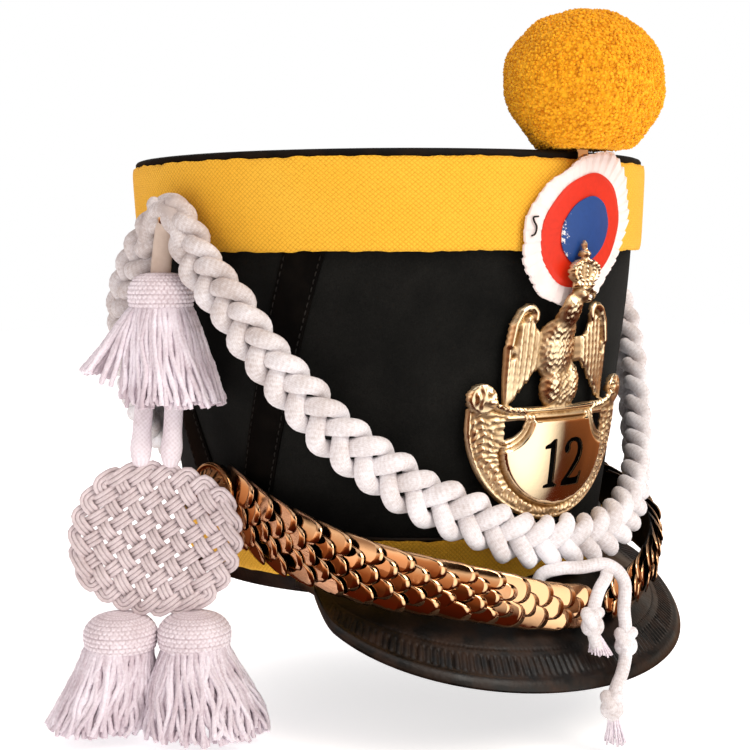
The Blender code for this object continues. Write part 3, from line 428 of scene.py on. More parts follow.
@dataclass(frozen=True)
class Brass(Finish):
    """Sheet brass: a mirror where it was polished, brown and dull in what lies deep; on the scales that dark is painted
    shade.
    """

    bright: str
    deep: str
    roughness: Pair
    dent_mm: float = 2.2
    dent_depth_mm: float = 0.05

    def shade(self, add: Adder, place: Socket) -> dict:
        """Tone and gloss from the relief attribute: 0 is a recess and 1 stands out; on the scales it holds painted
        shade and a painted highlight.
        """
        relief = add("Attribute", attribute_name="relief").outputs["Fac"]
        film = add("TexNoise", {"Vector": place, "Scale": per_mm(8), "Detail": 4.0, "Roughness": 0.6})
        share = add("Math", {0: film, 1: 0.3, 2: relief}, operation="MULTIPLY_ADD")
        clean_and_lit = add("MapRange", {"Value": share, "From Min": 0.2, "From Max": 0.85})
        rough = add("MapRange", {"Value": share, "From Min": 0.6, "From Max": 1.05,
                                        "To Min": self.roughness[1], "To Max": self.roughness[0]})
        dent = add("TexNoise", {"Vector": place, "Scale": per_mm(self.dent_mm), "Detail": 2.0})
        return {"Base Color": add("Mix", {0: clean_and_lit, 6: self.deep, 7: self.bright}, data_type="RGBA"),
                "Normal": add("Bump", {"Strength": 0.4, "Distance": self.dent_depth_mm * MM, "Height": dent}),
                "Roughness": rough, "Metallic": 1.0}


@dataclass(frozen=True)
class MattPaint(Finish):
    """Distempered board: pale and matt, so that it looks like studio paper."""

    colour: str = "#fbfaf9"
    glow: float = 0.64  # light that comes through the paper

    def shade(self, add: Adder, place: Socket) -> dict:
        """Faintly mottled white."""
        cloud = add("TexNoise", {"Vector": place, "Scale": per_mm(300), "Detail": 2.0})
        return {"Base Color": add("Mix", {0: cloud, 6: self.colour, 7: "#ffffff"}, data_type="RGBA"),
                "Roughness": 0.9, "Specular IOR Level": 0.0, "Emission Color": "#ffffff",
                "Emission Strength": self.glow}


FELT = WoolFelt("fulled wool felt", "felt")
GLAZED = BlackLeather("glazed calf leather", "black_leather", worn="#2a1a0f", specular=0.28)
WAXED = BlackLeather("waxed strap leather", "black_leather", "#0a0908", "#110e0b", grain_depth_mm=0.05,
                     gloss=(0.5, 0.7), specular=0.04)
TOP = BlackLeather("smooth calf leather", "black_leather", worn="#1f160e", gloss=(0.6, 0.8), specular=0.12)
THREAD = BlackLeather("black sewing thread", "black_leather", "#141310", "#24211d", gloss=(0.6, 0.8))
WORSTED = WovenWool("worsted braid", "yellow_wool")
PILE = WoolPile("clipped yarn", "pompom_wool")
# the braid is darker far from the hat's middle, towards the hooks
JACKET = CottonCord("braided cotton cord", "white_cotton", "#f4f3f6", "#bfb3ae", Lay.JACKET, handled=0.42,
                    stitch_share=0.1, depth_mm=0.4)
TWIST = CottonCord("twisted cotton cord", "white_cotton", "#e0d4d6", "#b9a9a9", Lay.TWIST, stitch_mm=1.9,
                   stitch_share=0.05)
STRAND = CottonCord("cotton strand", "white_cotton", "#f9f2fa", "#d0c1c9", Lay.TWIST, depth_mm=0.2)
KNIT = CottonCord("knitted cotton cover", "white_cotton", "#f4ecf2", "#cfc1c6", Lay.KNIT, stitch_mm=1.6,
                  stitch_share=0.18)
TAWED = TawedLeather("alum-tawed leather", "white_leather", "#f8efec", "#e2d3cf")
STRAP = TawedLeather("handled tawed leather", "white_leather", "#e3d3c6", "#b59e8c")
RED = PaintedLeather("red painted leather", "red_paint", "#c4260a")
# its white flecks on the left are painted glints
BLUE = PaintedLeather("blue painted leather", "blue_paint", "#173c78", flakes_mm=(-15.0, -2.0))
STAMPED = Brass("stamped brass", "stamped_brass", "#fde4bd", "#a68150", (0.1, 0.5), dent_depth_mm=0.03)
# its deep colour is painted shade, where the next scale covers each scale, at its sides and underneath
ROLLED = Brass("rolled brass scales", "scale_brass", "#e6b68a", "#20130b", (0.05, 0.3), 6.0, 0.1)
BRONZED = Brass("bronzed brass boss", "scale_brass", "#a87a50", "#2a1b10", (0.16, 0.4))


# ---- surfaces


@dataclass
class Patch:
    """Part of a surface.

    Attributes:
        points: Corner positions, one row each.
        faces: Arrays of faces; each array holds faces with one number of corners.
        spots: For each array of faces, the UV position of each corner.
        relief: How far each point stands out, from 0 to 1; finishes darken where it is low, which on the scales and the
            cotton is painted shade.
    """

    points: Array
    faces: list[Array] = field(default_factory=list)
    spots: list[Array] = field(default_factory=list)
    relief: Array | None = None


def grid_patch(points: Array, spots: Array, wrap_rows: bool = False, wrap_columns: bool = False) -> Patch:
    """Quads between the points of a grid.

    Args:
        points: Positions as rows x columns x 3. A face looks along columns x rows.
        spots: UV positions, with one more row or column than the points where that way wraps.
        wrap_rows: Join the last row to the first.
        wrap_columns: Join the last column to the first.

    Returns:
        The surface.
    """
    rows, columns = points.shape[:2]
    i, j = np.meshgrid(np.arange(rows - (not wrap_rows)), np.arange(columns - (not wrap_columns)), indexing="ij")
    i, j = i.ravel(), j.ravel()
    ni, nj = (i + 1) % rows, (j + 1) % columns
    quads = np.stack([i * columns + j, i * columns + nj, ni * columns + nj, ni * columns + j], axis=1)
    corners = np.stack([spots[i, j], spots[i, j + 1], spots[i + 1, j + 1], spots[i + 1, j]], axis=1)
    return Patch(points.reshape(-1, 3), [quads], [corners])


def cap(patch: Patch, ring: Sequence[int]) -> None:
    """Close a hole of a patch with one face whose corners are listed anticlockwise from outside."""
    patch.faces.append(np.array([ring]))
    patch.spots.append(np.zeros((1, len(ring), 2)))


def cap_ends(patch: Patch, rows: int, columns: int) -> Patch:
    """Close both open ends of a grid that wraps round its columns."""
    cap(patch, range(columns)[::-1])
    cap(patch, range((rows - 1) * columns, rows * columns))
    return patch


def cap_sides(patch: Patch, rows: int, columns: int) -> Patch:
    """Close both open sides of a grid that wraps round its rows."""
    starts = np.arange(rows) * columns
    cap(patch, starts)
    cap(patch, (starts + columns - 1)[::-1])
    return patch


def flipped(patch: Patch) -> Patch:
    """The patch with its faces turned to look the other way."""
    patch.faces = [faces[:, ::-1] for faces in patch.faces]
    patch.spots = [places[:, ::-1] for places in patch.spots]
    return patch


def write_points(mesh: bpy.types.Mesh, label: str, values: Array) -> None:
    """Write an attribute of the mesh's points, of one number or a row of three for each."""
    kind, key = ("FLOAT", "value") if values.ndim == 1 else ("FLOAT_VECTOR", "vector")
    mesh.attributes.new(label, kind, "POINT").data.foreach_set(key, values.ravel().astype(np.float32))


def piece(name: str, patches: Sequence[Patch], finish: Finish, replaces: Sequence[str] = (),
          sharp: float = 60.0, ride: bool = True) -> Thing:
    """Join patches into one object that is part of the hat.

    Args:
        name: The object's name.
        patches: Its surfaces.
        finish: Its finish.
        replaces: Solids that it stands for.
        sharp: Angle between faces, in degrees, from which their edge is drawn sharp.
        ride: Whether it is a finished piece, and not a pattern for others.

    Returns:
        The object.
    """
    faces, spots, start = [], [], 0
    for patch in patches:
        for some, places in zip(patch.faces, patch.spots):
            faces.extend((some + start).tolist())
            spots.append(places.reshape(-1, 2))
        start += len(patch.points)
    relief = [np.ones(len(patch.points)) if patch.relief is None else patch.relief for patch in patches]
    mesh = bpy.data.meshes.new(name)
    mesh.from_pydata(np.concatenate([patch.points for patch in patches]).tolist(), [], faces)
    layer = mesh.uv_layers.new(name="UVMap")
    layer.data.foreach_set("uv", np.concatenate(spots).ravel().astype(np.float32))
    write_points(mesh, "relief", np.concatenate(relief))
    mesh.validate()
    mesh.shade_smooth()
    mesh.set_sharp_from_angle(angle=math.radians(sharp))
    mesh.materials.append(finish.material())
    made = place_object(name, mesh)
    if ride:
        settle(made, replaces)
    return made


def place_object(name: str, data: bpy.types.ID) -> Thing:
    """Put a mesh, a camera or a light into the scene."""
    made = bpy.data.objects.new(name, data)
    bpy.context.scene.collection.objects.link(made)
    return made


def settle(made: Thing, replaces: Sequence[str] = ()) -> None:
    """Tie a finished piece to the hat's body and the solids it stands for."""
    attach(made, BODY)
    if replaces:
        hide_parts(*replaces)
    log.info("%s: %d faces", made.name, len(made.data.polygons))


# ---- lines


def spline(points: Sequence[Sequence[float]], step: float) -> Array:
    """Points along a smooth curve through the given ones, evenly spaced.

    Args:
        points: Control points.
        step: Distance between the results, about.

    Returns:
        The positions, one row each.
    """
    knots = np.array(points, float)
    padded = np.concatenate([[2 * knots[0] - knots[1]], knots, [2 * knots[-1] - knots[-2]]])
    t = np.linspace(0, 1, 24, endpoint=False)[:, None]
    runs = [
        0.5 * (2 * b + (c - a) * t + (2 * a - 5 * b + 4 * c - d) * t ** 2 + (3 * b - a - 3 * c + d) * t ** 3)
        for a, b, c, d in zip(padded, padded[1:], padded[2:], padded[3:])
    ]
    return respace(np.concatenate([*runs, knots[-1:]]), step)


def walk(path: Array) -> Array:
    """Distance walked at each point of a path."""
    return np.concatenate([[0], np.cumsum(np.linalg.norm(np.diff(path, axis=0), axis=1))])


def respace(dense: Array, step: float) -> Array:
    """Evenly spaced points along a polyline."""
    lengths = walk(dense)
    stops = np.linspace(0, lengths[-1], max(2, round(lengths[-1] / step)) + 1)
    return np.stack([np.interp(stops, lengths, dense[:, k]) for k in range(dense.shape[1])], axis=1)


def tangents(path: Array, closed: bool = False) -> Array:
    """Unit directions along a path."""
    run = np.roll(path, -1, axis=0) - np.roll(path, 1, axis=0) if closed else np.gradient(path, axis=0)
    return unit(run)


def unit(rows: Array) -> Array:
    """The rows at length one."""
    return rows / np.maximum(1e-12, np.linalg.norm(rows, axis=-1, keepdims=True))


def square_to(axis: Array, guide: Array) -> Array:
    """The guide directions made perpendicular to the axis directions, unit length."""
    return unit(guide - axis * np.sum(axis * guide, axis=-1, keepdims=True))


def carried(path: Array) -> Array:
    """Sideways directions that are carried along a path without turning about it."""
    along = tangents(path)
    side = [np.array([1.0, 0, 0]) if abs(along[0][0]) < 0.8 else np.array([0, 1.0, 0])]
    for direction in along:
        side.append(square_to(direction, side[-1]))
    return np.array(side[1:])


def tube(path: Array, radius: float | Array, side: Array | None = None, flat: float = 1.0, sides: int = 10,
         closed: bool = False) -> Patch:
    """Cord along a path.

    Args:
        path: Middle of the cord, one row each.
        radius: Half its width, one value or one for each point.
        side: The direction across its width, one or one for each point; carried along the path when None.
        flat: Thickness over width.
        sides: Faces round it.
        closed: Whether the path returns to its start.

    Returns:
        The surface, with rounded ends unless closed. Its UV map holds the distances round and along.
    """
    path = np.asarray(path, float)
    radius = np.broadcast_to(np.asarray(radius, float), (len(path),)).copy()
    mean = float(np.median(radius))
    along = tangents(path, closed)
    side = carried(path) if side is None else square_to(along, side)
    walked = walk(path)
    if not closed:
        tips = np.array([0.35, 0.75, 1.0])
        back = flat * half_round(tips)[:, None]
        starts = path[0] - along[0] * radius[0] * back
        ends = path[-1] + along[-1] * radius[-1] * back[::-1]
        path = np.concatenate([starts, path, ends])
        radius = np.concatenate([radius[0] * tips, radius, radius[-1] * tips[::-1]])
        side, along = (np.pad(rows, ((3, 3), (0, 0)), mode="edge") for rows in (side, along))
        walked = np.pad(walked, 3, mode="edge")
    other = np.cross(along, side)
    turn = turn_angles(sides)
    points = (path[:, None, :] + side[:, None, :] * (radius[:, None] * np.cos(turn))[..., None]
              + other[:, None, :] * (radius[:, None] * flat * np.sin(turn))[..., None])
    stops = np.concatenate([walked, [walked[-1]]]) if closed else walked
    spots = chart(np.linspace(0, TURN * mean, sides + 1), stops)
    patch = grid_patch(points, spots, wrap_rows=closed, wrap_columns=True)
    return patch if closed else cap_ends(patch, len(path), sides)


# ---- node trees for what repeats


def new_tree(name: str, **inputs: str) -> tuple[Tree, bpy.types.NodeOutputs]:
    """Start a geometry tree with named inputs.

    Args:
        name: The tree's name.
        **inputs: Socket type of each input after the geometry, with "_" for a blank in its name.

    Returns:
        The tree and the sockets of its inputs.
    """
    tree = bpy.data.node_groups.new(name, "GeometryNodeTree")
    tree.interface.new_socket("Geometry", in_out="INPUT", socket_type="NodeSocketGeometry")
    for label, kind in inputs.items():
        tree.interface.new_socket(label.replace("_", " "), in_out="INPUT", socket_type="NodeSocket" + kind)
    tree.interface.new_socket("Geometry", in_out="OUTPUT", socket_type="NodeSocketGeometry")
    return tree, wire(tree, "NodeGroupInput").outputs


def close_tree(tree: Tree, geometry: Node, finish: Socket) -> Tree:
    """End a geometry tree: real mesh, smooth faces and its material."""
    real = wire(tree, "GeometryNodeRealizeInstances", {"Geometry": geometry})
    smooth = wire(tree, "GeometryNodeSetShadeSmooth", {"Geometry": real})
    dressed = wire(tree, "GeometryNodeSetMaterial", {"Geometry": smooth, "Material": finish})
    wire(tree, "NodeGroupOutput", {"Geometry": dressed})
    return tree


@cache
def repeat_tree() -> Tree:
    """One pattern on each point, turned and scaled by the point's own attributes."""
    tree, given = new_tree("repeat_on_points", Pattern="Object", Pattern_size="Float", Finish="Material")
    pattern = wire(tree, "GeometryNodeObjectInfo", {"Object": given["Pattern"]})
    turn = wire(tree, "GeometryNodeInputNamedAttribute", {"Name": "turn"}, data_type="FLOAT_VECTOR")
    size = wire(tree, "GeometryNodeInputNamedAttribute", {"Name": "size"}, data_type="FLOAT_VECTOR")
    scaled = wire(tree, "VectorMath", {0: size, "Scale": given["Pattern size"]}, operation="SCALE")
    turned = wire(tree, "FunctionNodeEulerToRotation", {0: turn})
    placed = wire(tree, "GeometryNodeInstanceOnPoints", {
        "Points": given["Geometry"], "Instance": pattern.outputs["Geometry"],
        "Rotation": turned, "Scale": scaled})
    return close_tree(tree, placed, given["Finish"])


@cache
def strand_tree() -> Tree:
    """A two-ply cord along every line of the geometry: a flattened round that turns as it goes."""
    tree, given = new_tree("cords_on_lines", Cord_radius="Float", Cord_sides="Int", Flatness="Float",
                           Twist_pitch="Float", Finish="Material")
    lined = wire(tree, "GeometryNodeMeshToCurve", {"Mesh": given["Geometry"]})
    walked = wire(tree, "GeometryNodeSplineParameter")
    turns = wire(tree, "Math", {0: walked.outputs["Length"], 1: given["Twist pitch"]}, operation="DIVIDE")
    turned = wire(tree, "Math", {0: turns, 1: TURN}, operation="MULTIPLY")
    laid = wire(tree, "GeometryNodeSetCurveTilt", {"Curve": lined, "Tilt": turned})
    ring = wire(tree, "GeometryNodeCurvePrimitiveCircle", {
        "Resolution": given["Cord sides"], "Radius": given["Cord radius"]})
    share = wire(tree, "CombineXYZ", {0: 1.0, 1: given["Flatness"], 2: 1.0})
    oval = wire(tree, "GeometryNodeTransform", {"Geometry": ring, "Scale": share})
    thick = wire(tree, "GeometryNodeInputNamedAttribute", {"Name": "thick"}, data_type="FLOAT")
    cords = wire(tree, "GeometryNodeCurveToMesh", {
        "Curve": laid, "Profile Curve": oval, "Scale": thick, "Fill Caps": True})
    return close_tree(tree, cords, given["Finish"])


@cache
def pile_tree() -> Tree:
    """Clipped yarn ends all over a surface, which stays under them."""
    tree, given = new_tree("clipped_pile", Yarn_spacing="Float", Yarn_width="Float", Yarn_height="Float",
                           Seed="Int", Finish="Material")
    ends = wire(tree, "GeometryNodeDistributePointsOnFaces", {
        "Mesh": given["Geometry"], "Distance Min": given["Yarn spacing"],
        "Density Max": 900000.0, "Seed": given["Seed"]}, distribute_method="POISSON")
    yarn = wire(tree, "GeometryNodeMeshIcoSphere", {"Radius": 1.0, "Subdivisions": 1})
    spread = wire(tree, "CombineXYZ", {0: given["Yarn width"], 1: given["Yarn width"], 2: given["Yarn height"]})
    least = wire(tree, "FunctionNodeRandomValue", {2: 0.75, 3: 1.25, "Seed": 3}, data_type="FLOAT")
    size = wire(tree, "VectorMath", {0: spread, "Scale": least}, operation="SCALE")
    lean = wire(tree, "FunctionNodeRandomValue", {
        0: (-0.5, -0.5, 0.0), 1: (0.5, 0.5, TURN), "Seed": 5}, data_type="FLOAT_VECTOR")
    leant = wire(tree, "FunctionNodeEulerToRotation", {0: lean})
    turned = wire(tree, "FunctionNodeRotateRotation", {
        "Rotation": ends.outputs["Rotation"], "Rotate By": leant}, rotation_space="LOCAL")
    placed = wire(tree, "GeometryNodeInstanceOnPoints", {
        "Points": ends.outputs["Points"], "Instance": yarn, "Rotation": turned, "Scale": size})
    both = wire(tree, "GeometryNodeJoinGeometry")
    for part in (given["Geometry"], placed.outputs[0]):
        tree.links.new(part, both.inputs[0])
    return close_tree(tree, both, given["Finish"])


def grow(base: Thing, tree: Tree, sizes: dict[str, object], finish: Finish, replaces: Sequence[str] = ()) -> Thing:
    """Run a geometry tree on an object and keep a plain mesh in its place.

    Args:
        base: The object that the tree starts from; it is removed.
        tree: The tree.
        sizes: Input names to values.
        finish: The finish of the result.
        replaces: Solids that the result stands for.

    Returns:
        The finished piece, under the base's name.
    """
    sockets = {item.name: item.identifier for item in tree.interface.items_tree if item.in_out == "INPUT"}
    growth = base.modifiers.new("growth", "NODES")
    growth.node_group = tree
    for label, value in {**sizes, "Finish": finish.material()}.items():
        growth[sockets[label]] = value
    bpy.context.view_layer.update()
    graph = bpy.context.evaluated_depsgraph_get()
    mesh = bpy.data.meshes.new_from_object(base.evaluated_get(graph))
    name = base.name
    bpy.data.objects.remove(base, do_unlink=True)
    mesh.name = name
    made = place_object(name, mesh)
    settle(made, replaces)
    return made


def marks(name: str, points: Array, turns: Array, sizes: Array) -> Thing:
    """Loose points for repeat_tree.

    Args:
        name: Name of the piece that grows from them.
        points: Positions, one row each.
        turns: Three perpendicular unit axes for each point, as columns of a matrix.
        sizes: Scale along each axis.

    Returns:
        An object of points only.
    """
    mesh = bpy.data.meshes.new(name)
    mesh.from_pydata(np.asarray(points).tolist(), [], [])
    pitch = np.arcsin(np.clip(-turns[:, 2, 0], -1, 1))
    roll = np.arctan2(turns[:, 2, 1], turns[:, 2, 2])
    yaw = np.arctan2(turns[:, 1, 0], turns[:, 0, 0])
    write_points(mesh, "turn", np.stack([roll, pitch, yaw], axis=1))
    write_points(mesh, "size", np.asarray(sizes))
    return place_object(name, mesh)


def lines(name: str, paths: Sequence[Array], thick: Sequence[Array], tone_and_shade: Sequence[float]) -> Thing:
    """Polylines for strand_tree, with each cord's thickness as a share of its radius and its relief value, a tone that
    may hold painted shade.
    """
    points, edges, shares, tones, start = [], [], [], [], 0
    for path, share, level in zip(paths, thick, tone_and_shade):
        points.append(path)
        shares.append(np.broadcast_to(share, (len(path),)))
        tones.append(np.full(len(path), level))
        edges.extend((start + k, start + k + 1) for k in range(len(path) - 1))
        start += len(path)
    mesh = bpy.data.meshes.new(name)
    mesh.from_pydata(np.concatenate(points).tolist(), edges, [])
    write_points(mesh, "thick", np.concatenate(shares))
    write_points(mesh, "relief", np.concatenate(tones))
    return place_object(name, mesh)


# ---- the crown's form


@dataclass(frozen=True)
class CrownForm:
    """The felt's outer face: an oval head opening that widens to a round top."""

    height: float = 185 * MM
    base: Pair = (88 * MM, 100 * MM)
    top: float = 117.5 * MM
    bulge: float = 2 * MM

    def section(self, z: float | Array) -> tuple[Array, Array]:
        """Half width and half length of the oval at a height."""
        t = np.asarray(z, float) / self.height
        swell = 4 * self.bulge * t * (1 - t)
        return tuple(between((half, self.top), t) + swell for half in self.base)

    def point(self, angle: float | Array, z: float | Array, proud: float | Array = 0.0) -> Array:
        """Points at angles from the front that stand out from the felt."""
        angle, z, proud = np.broadcast_arrays(np.asarray(angle, float), z, proud)
        half_width, half_length = self.section(z)
        return np.stack([(half_width + proud) * np.sin(angle), -(half_length + proud) * np.cos(angle), z], axis=-1)

    def front(self, across: float | Array, z: float | Array, proud: float | Array) -> Array:
        """Points at distances across the front, measured round the crown."""
        return self.point(np.asarray(across) / (self.section(z)[1] + proud), z, proud)


FORM = CrownForm()
GIRTH = TURN * 110 * MM


def polar(route: Sequence[Spot]) -> Array:
    """Positions from rows of degrees from the front, radius mm and height mm."""
    rows = np.array(route, float)
    angle = np.radians(rows[:, 0])
    return np.stack([rows[:, 1] * np.sin(angle), -rows[:, 1] * np.cos(angle), rows[:, 2]], axis=1) * MM


def around(profile: Sequence[Pair], sides: int = 180, wave: Callable | None = None) -> Patch:
    """Closed section carried round the crown.

    Args:
        profile: Heights and distances from the felt in millimetres, anticlockwise as seen along the turn.
        sides: Points round the crown.
        wave: Extra distance for an angle and a height, or None.

    Returns:
        The surface; its UV map holds the distances round and along the section.
    """
    rows = np.array(profile, float) * MM
    angle = turn_angles(sides)[None, :]
    z, proud = rows[:, :1] + 0 * angle, rows[:, 1:] + 0 * angle
    if wave is not None:
        proud = proud + wave(angle, z)
    spots = chart(np.linspace(0, GIRTH, sides + 1), walk(np.concatenate([rows, rows[:1]])))
    return grid_patch(FORM.point(angle, z, proud), spots, wrap_rows=True, wrap_columns=True)


# ---- crown, bands and chevrons


@dataclass
class Crown:
    """Felt body and leather top; sizes are in millimetres."""

    wall: float = 2.5
    felt_top: float = 183.5
    disc: float = 185.8
    rim: float = 188.3
    skirt_low: float = 150.0
    sides: int = 180

    def dents(self, angle: Array, z: Array) -> Array:
        """Slow hollows of the felt."""
        return 0.25 * MM * (np.sin(3 * angle + 40 * z) * np.sin(55 * z + 1.3) + 0.6 * np.sin(7 * angle - 70 * z))

    def sag(self, angle: Array, z: Array) -> Array:
        """Slight waves of the leather."""
        return 0.12 * MM * np.sin(11 * angle + 20 * z)

    def felt(self) -> None:
        """The felt with slow dents, open below."""
        heights = np.linspace(0, self.felt_top, 40)
        rows = [(z, 0.0) for z in heights] + [(z, -self.wall) for z in heights[::-1]]
        piece("felt_crown", [around(rows, self.sides, self.dents)], FELT, ["crown_felt"])

    def top(self) -> None:
        """Leather top with a rolled rim and the skirt under the wool band."""
        disc, rim, under = self.disc, self.rim, self.felt_top + 0.3
        face = [(self.skirt_low, 2.1), (disc - 1.5, 0.9), (disc, 1.3), (rim - 1.2, 1.2), (rim - 0.3, 0.4), (rim, -0.8),
                (rim - 0.5, -1.9), (disc + 1.2, -2.9), (disc + 0.6, -5), (disc + 0.4, -9)]
        rows = [(self.skirt_low, 0.4), *respace(np.array(face), 1.0).tolist()]
        rows += [(disc + 0.4 - 0.05 * k, -9 - 18 * k) for k in range(1, 7)]
        shell = around([*rows, (under, rows[-1][1]), (under, 0.4)], self.sides, self.sag)
        first = (len(rows) - 1) * self.sides
        keep = shell.faces[0][:, 0] // self.sides != len(rows) - 1  # the innermost rings get one face each instead
        shell.faces[0], shell.spots[0] = shell.faces[0][keep], shell.spots[0][keep]
        cap(shell, range(first, first + self.sides))
        cap(shell, range(first + self.sides, first + 2 * self.sides)[::-1])
        piece("leather_top", [shell], TOP, ["crown_top"], sharp=40)


@dataclass
class Band:
    """A woven band round the crown, whose picks are a slight relief and whose edges wander a little.

    Attributes:
        name: The piece's name.
        node: The solid that it stands for.
        edges: Heights of its lower and upper edge.
        back: Distance of its back from the felt, below and above.
        face: Distance of its face from the felt, below and above.
        count: Points round it.
        rows: Points from its lower to its upper edge.
    """

    name: str
    node: str
    edges: Pair
    back: Pair
    face: Pair
    count: int
    rows: int
    pick: float = 4.2 * MM
    row: float = 3.8 * MM
    relief: float = 0.06 * MM
    fuzz: float = 0.22 * MM

    def build(self) -> None:
        """Face, worn edges and back in one closed shell."""
        tall = self.edges[1] - self.edges[0]
        angle = turn_angles(self.count)
        share = np.linspace(0, 1, self.rows)[:, None]
        off_middle = 2 * np.abs(share - 0.5)
        chance = np.random.default_rng(11)
        nap = np.convolve(np.tile(chance.normal(size=self.count), 2), [0.3, 0.4, 0.3], "same")[:self.count]
        slow = np.sin(17 * angle) * np.sin(5 * angle + 1) + 0.6 * np.sin(53 * angle + 2)
        wander = 0.3 * MM * slow + self.fuzz * nap
        z = between(self.edges, share) + wander * off_middle ** 6
        across, up = angle * GIRTH / TURN, tall * share
        picks = np.sin(TURN * across / self.pick) * np.sin(TURN * up / self.row)
        proud = (between(self.face, share) + self.relief * picks
                 + 0.25 * MM * np.sin(5 * angle + 1) * np.sin(9 * angle) - 0.6 * MM * off_middle ** 12)
        inner = np.array([1.0, 0.5, 0.0])[:, None]
        inner_z = between(self.edges, inner) + wander * np.array([[1], [0], [1]])
        inner_proud = between(self.back, inner) + 0 * angle
        points = FORM.point(angle, np.concatenate([z, inner_z]), np.concatenate([proud, inner_proud]))
        spots = chart(np.linspace(0, GIRTH, self.count + 1), np.concatenate([up[:, 0], np.full(4, tall)]))
        piece(self.name, [grid_patch(points, spots, wrap_rows=True, wrap_columns=True)], WORSTED, [self.node], sharp=80)


BANDS = (
    Band("top_wool_band", "top_band", mm(147, 185), mm(2.7, 1.5), mm(4.5, 3.0), 640, 22),
    Band("lower_wool_band", "lower_band", mm(7.5, 25.8), mm(1.8, 1.8), mm(3.6, 3.6), 560, 12),
)


@dataclass
class FootBand:
    """Leather band round the foot, with a rounded upper bead."""

    edges_mm: Pair = (0.5, 27.2)
    face_mm: float = 1.5

    def build(self) -> None:
        """One closed ring."""
        (low, high), face = self.edges_mm, self.face_mm
        rows = [(low, 0.3), (low, face - 0.3), (low + 0.5, face), (high - 1.6, face), (high - 0.9, face + 0.5),
                (high - 0.1, face + 0.2), (high, face - 0.5), (high, 0.3)]
        piece("foot_leather", [around(rows)], GLAZED, ["base_band"], sharp=50)


@dataclass
class SideChevron:
    """Leather V on one side, sewn down along both edges of each arm; angles are in degrees."""

    side: Side
    arm_angles: Pair = (6.5, 28.0)
    half_angle: float = 4.6
    heights: Pair = mm(30, 147.5)
    stitch_inset: float = 0.86
    stitch_pitch: float = 3.2 * MM
    steps: int = 48

    def angle(self, way: int, share: Array, across: float | Array) -> Array:
        """Radians from the front for a place on an arm: -1 or 1, share of its height, -1 to 1 across."""
        return np.radians(90 * self.side.value + way * (between(self.arm_angles, share) + across * self.half_angle))

    def build(self) -> None:
        """Both arms and their stitches."""
        share = np.linspace(0, 1, self.steps)[:, None]
        u = np.linspace(-1, 1, 9)[None, :]
        thick = (1.65 - 0.55 * np.abs(u) ** 8 - 0.28 * bell(np.abs(u) - self.stitch_inset, 0.05)) * MM
        patches = []
        for way in (-1, 1):
            place = self.angle(way, share, u), between(self.heights, share)
            shell = np.concatenate([FORM.point(*place, thick), FORM.point(*place, 0.15 * MM)[:, ::-1]], axis=1)
            if way < 0:
                shell = shell[:, ::-1]
            spots = chart(np.linspace(0, 32 * MM, 19), share[:, 0] * 0.12)
            patches.append(cap_ends(grid_patch(shell, spots, wrap_columns=True), self.steps, 18))
        label = self.side.label
        piece(f"chevron_{label}", patches, WAXED, [f"side_chevron_{label}"], sharp=40)
        self.sew()

    def sew(self) -> None:
        """Two rows of stitches on each arm."""
        share = np.arange(0.02, 0.98, self.stitch_pitch / (self.heights[1] - self.heights[0]))
        points, turns = [], []
        for way, row in product((-1, 1), (-1, 1)):
            spot = FORM.point(self.angle(way, share, row * self.stitch_inset), between(self.heights, share), 1.5 * MM)
            along = tangents(spot)
            outward = square_to(along, spot * LEVEL)
            points.extend(spot)
            turns.extend(np.stack([along, np.cross(outward, along), outward], axis=-1))
        base = marks(f"chevron_stitches_{self.side.label}", points, np.array(turns), np.ones((len(points), 3)))
        grow(base, repeat_tree(), {"Pattern": stitch(), "Pattern size": 1.0}, THREAD)


@cache
def stitch() -> Thing:
    """Pattern of one stitch: a short fat thread along X."""
    path = np.array([[-0.9, 0, -0.15], [-0.45, 0, 0.08], [0, 0, 0.14], [0.45, 0, 0.08], [0.9, 0, -0.15]]) * MM
    return piece("pattern_stitch", [tube(path, 0.28 * MM, sides=5)], THREAD, ride=False)


# ---- visor


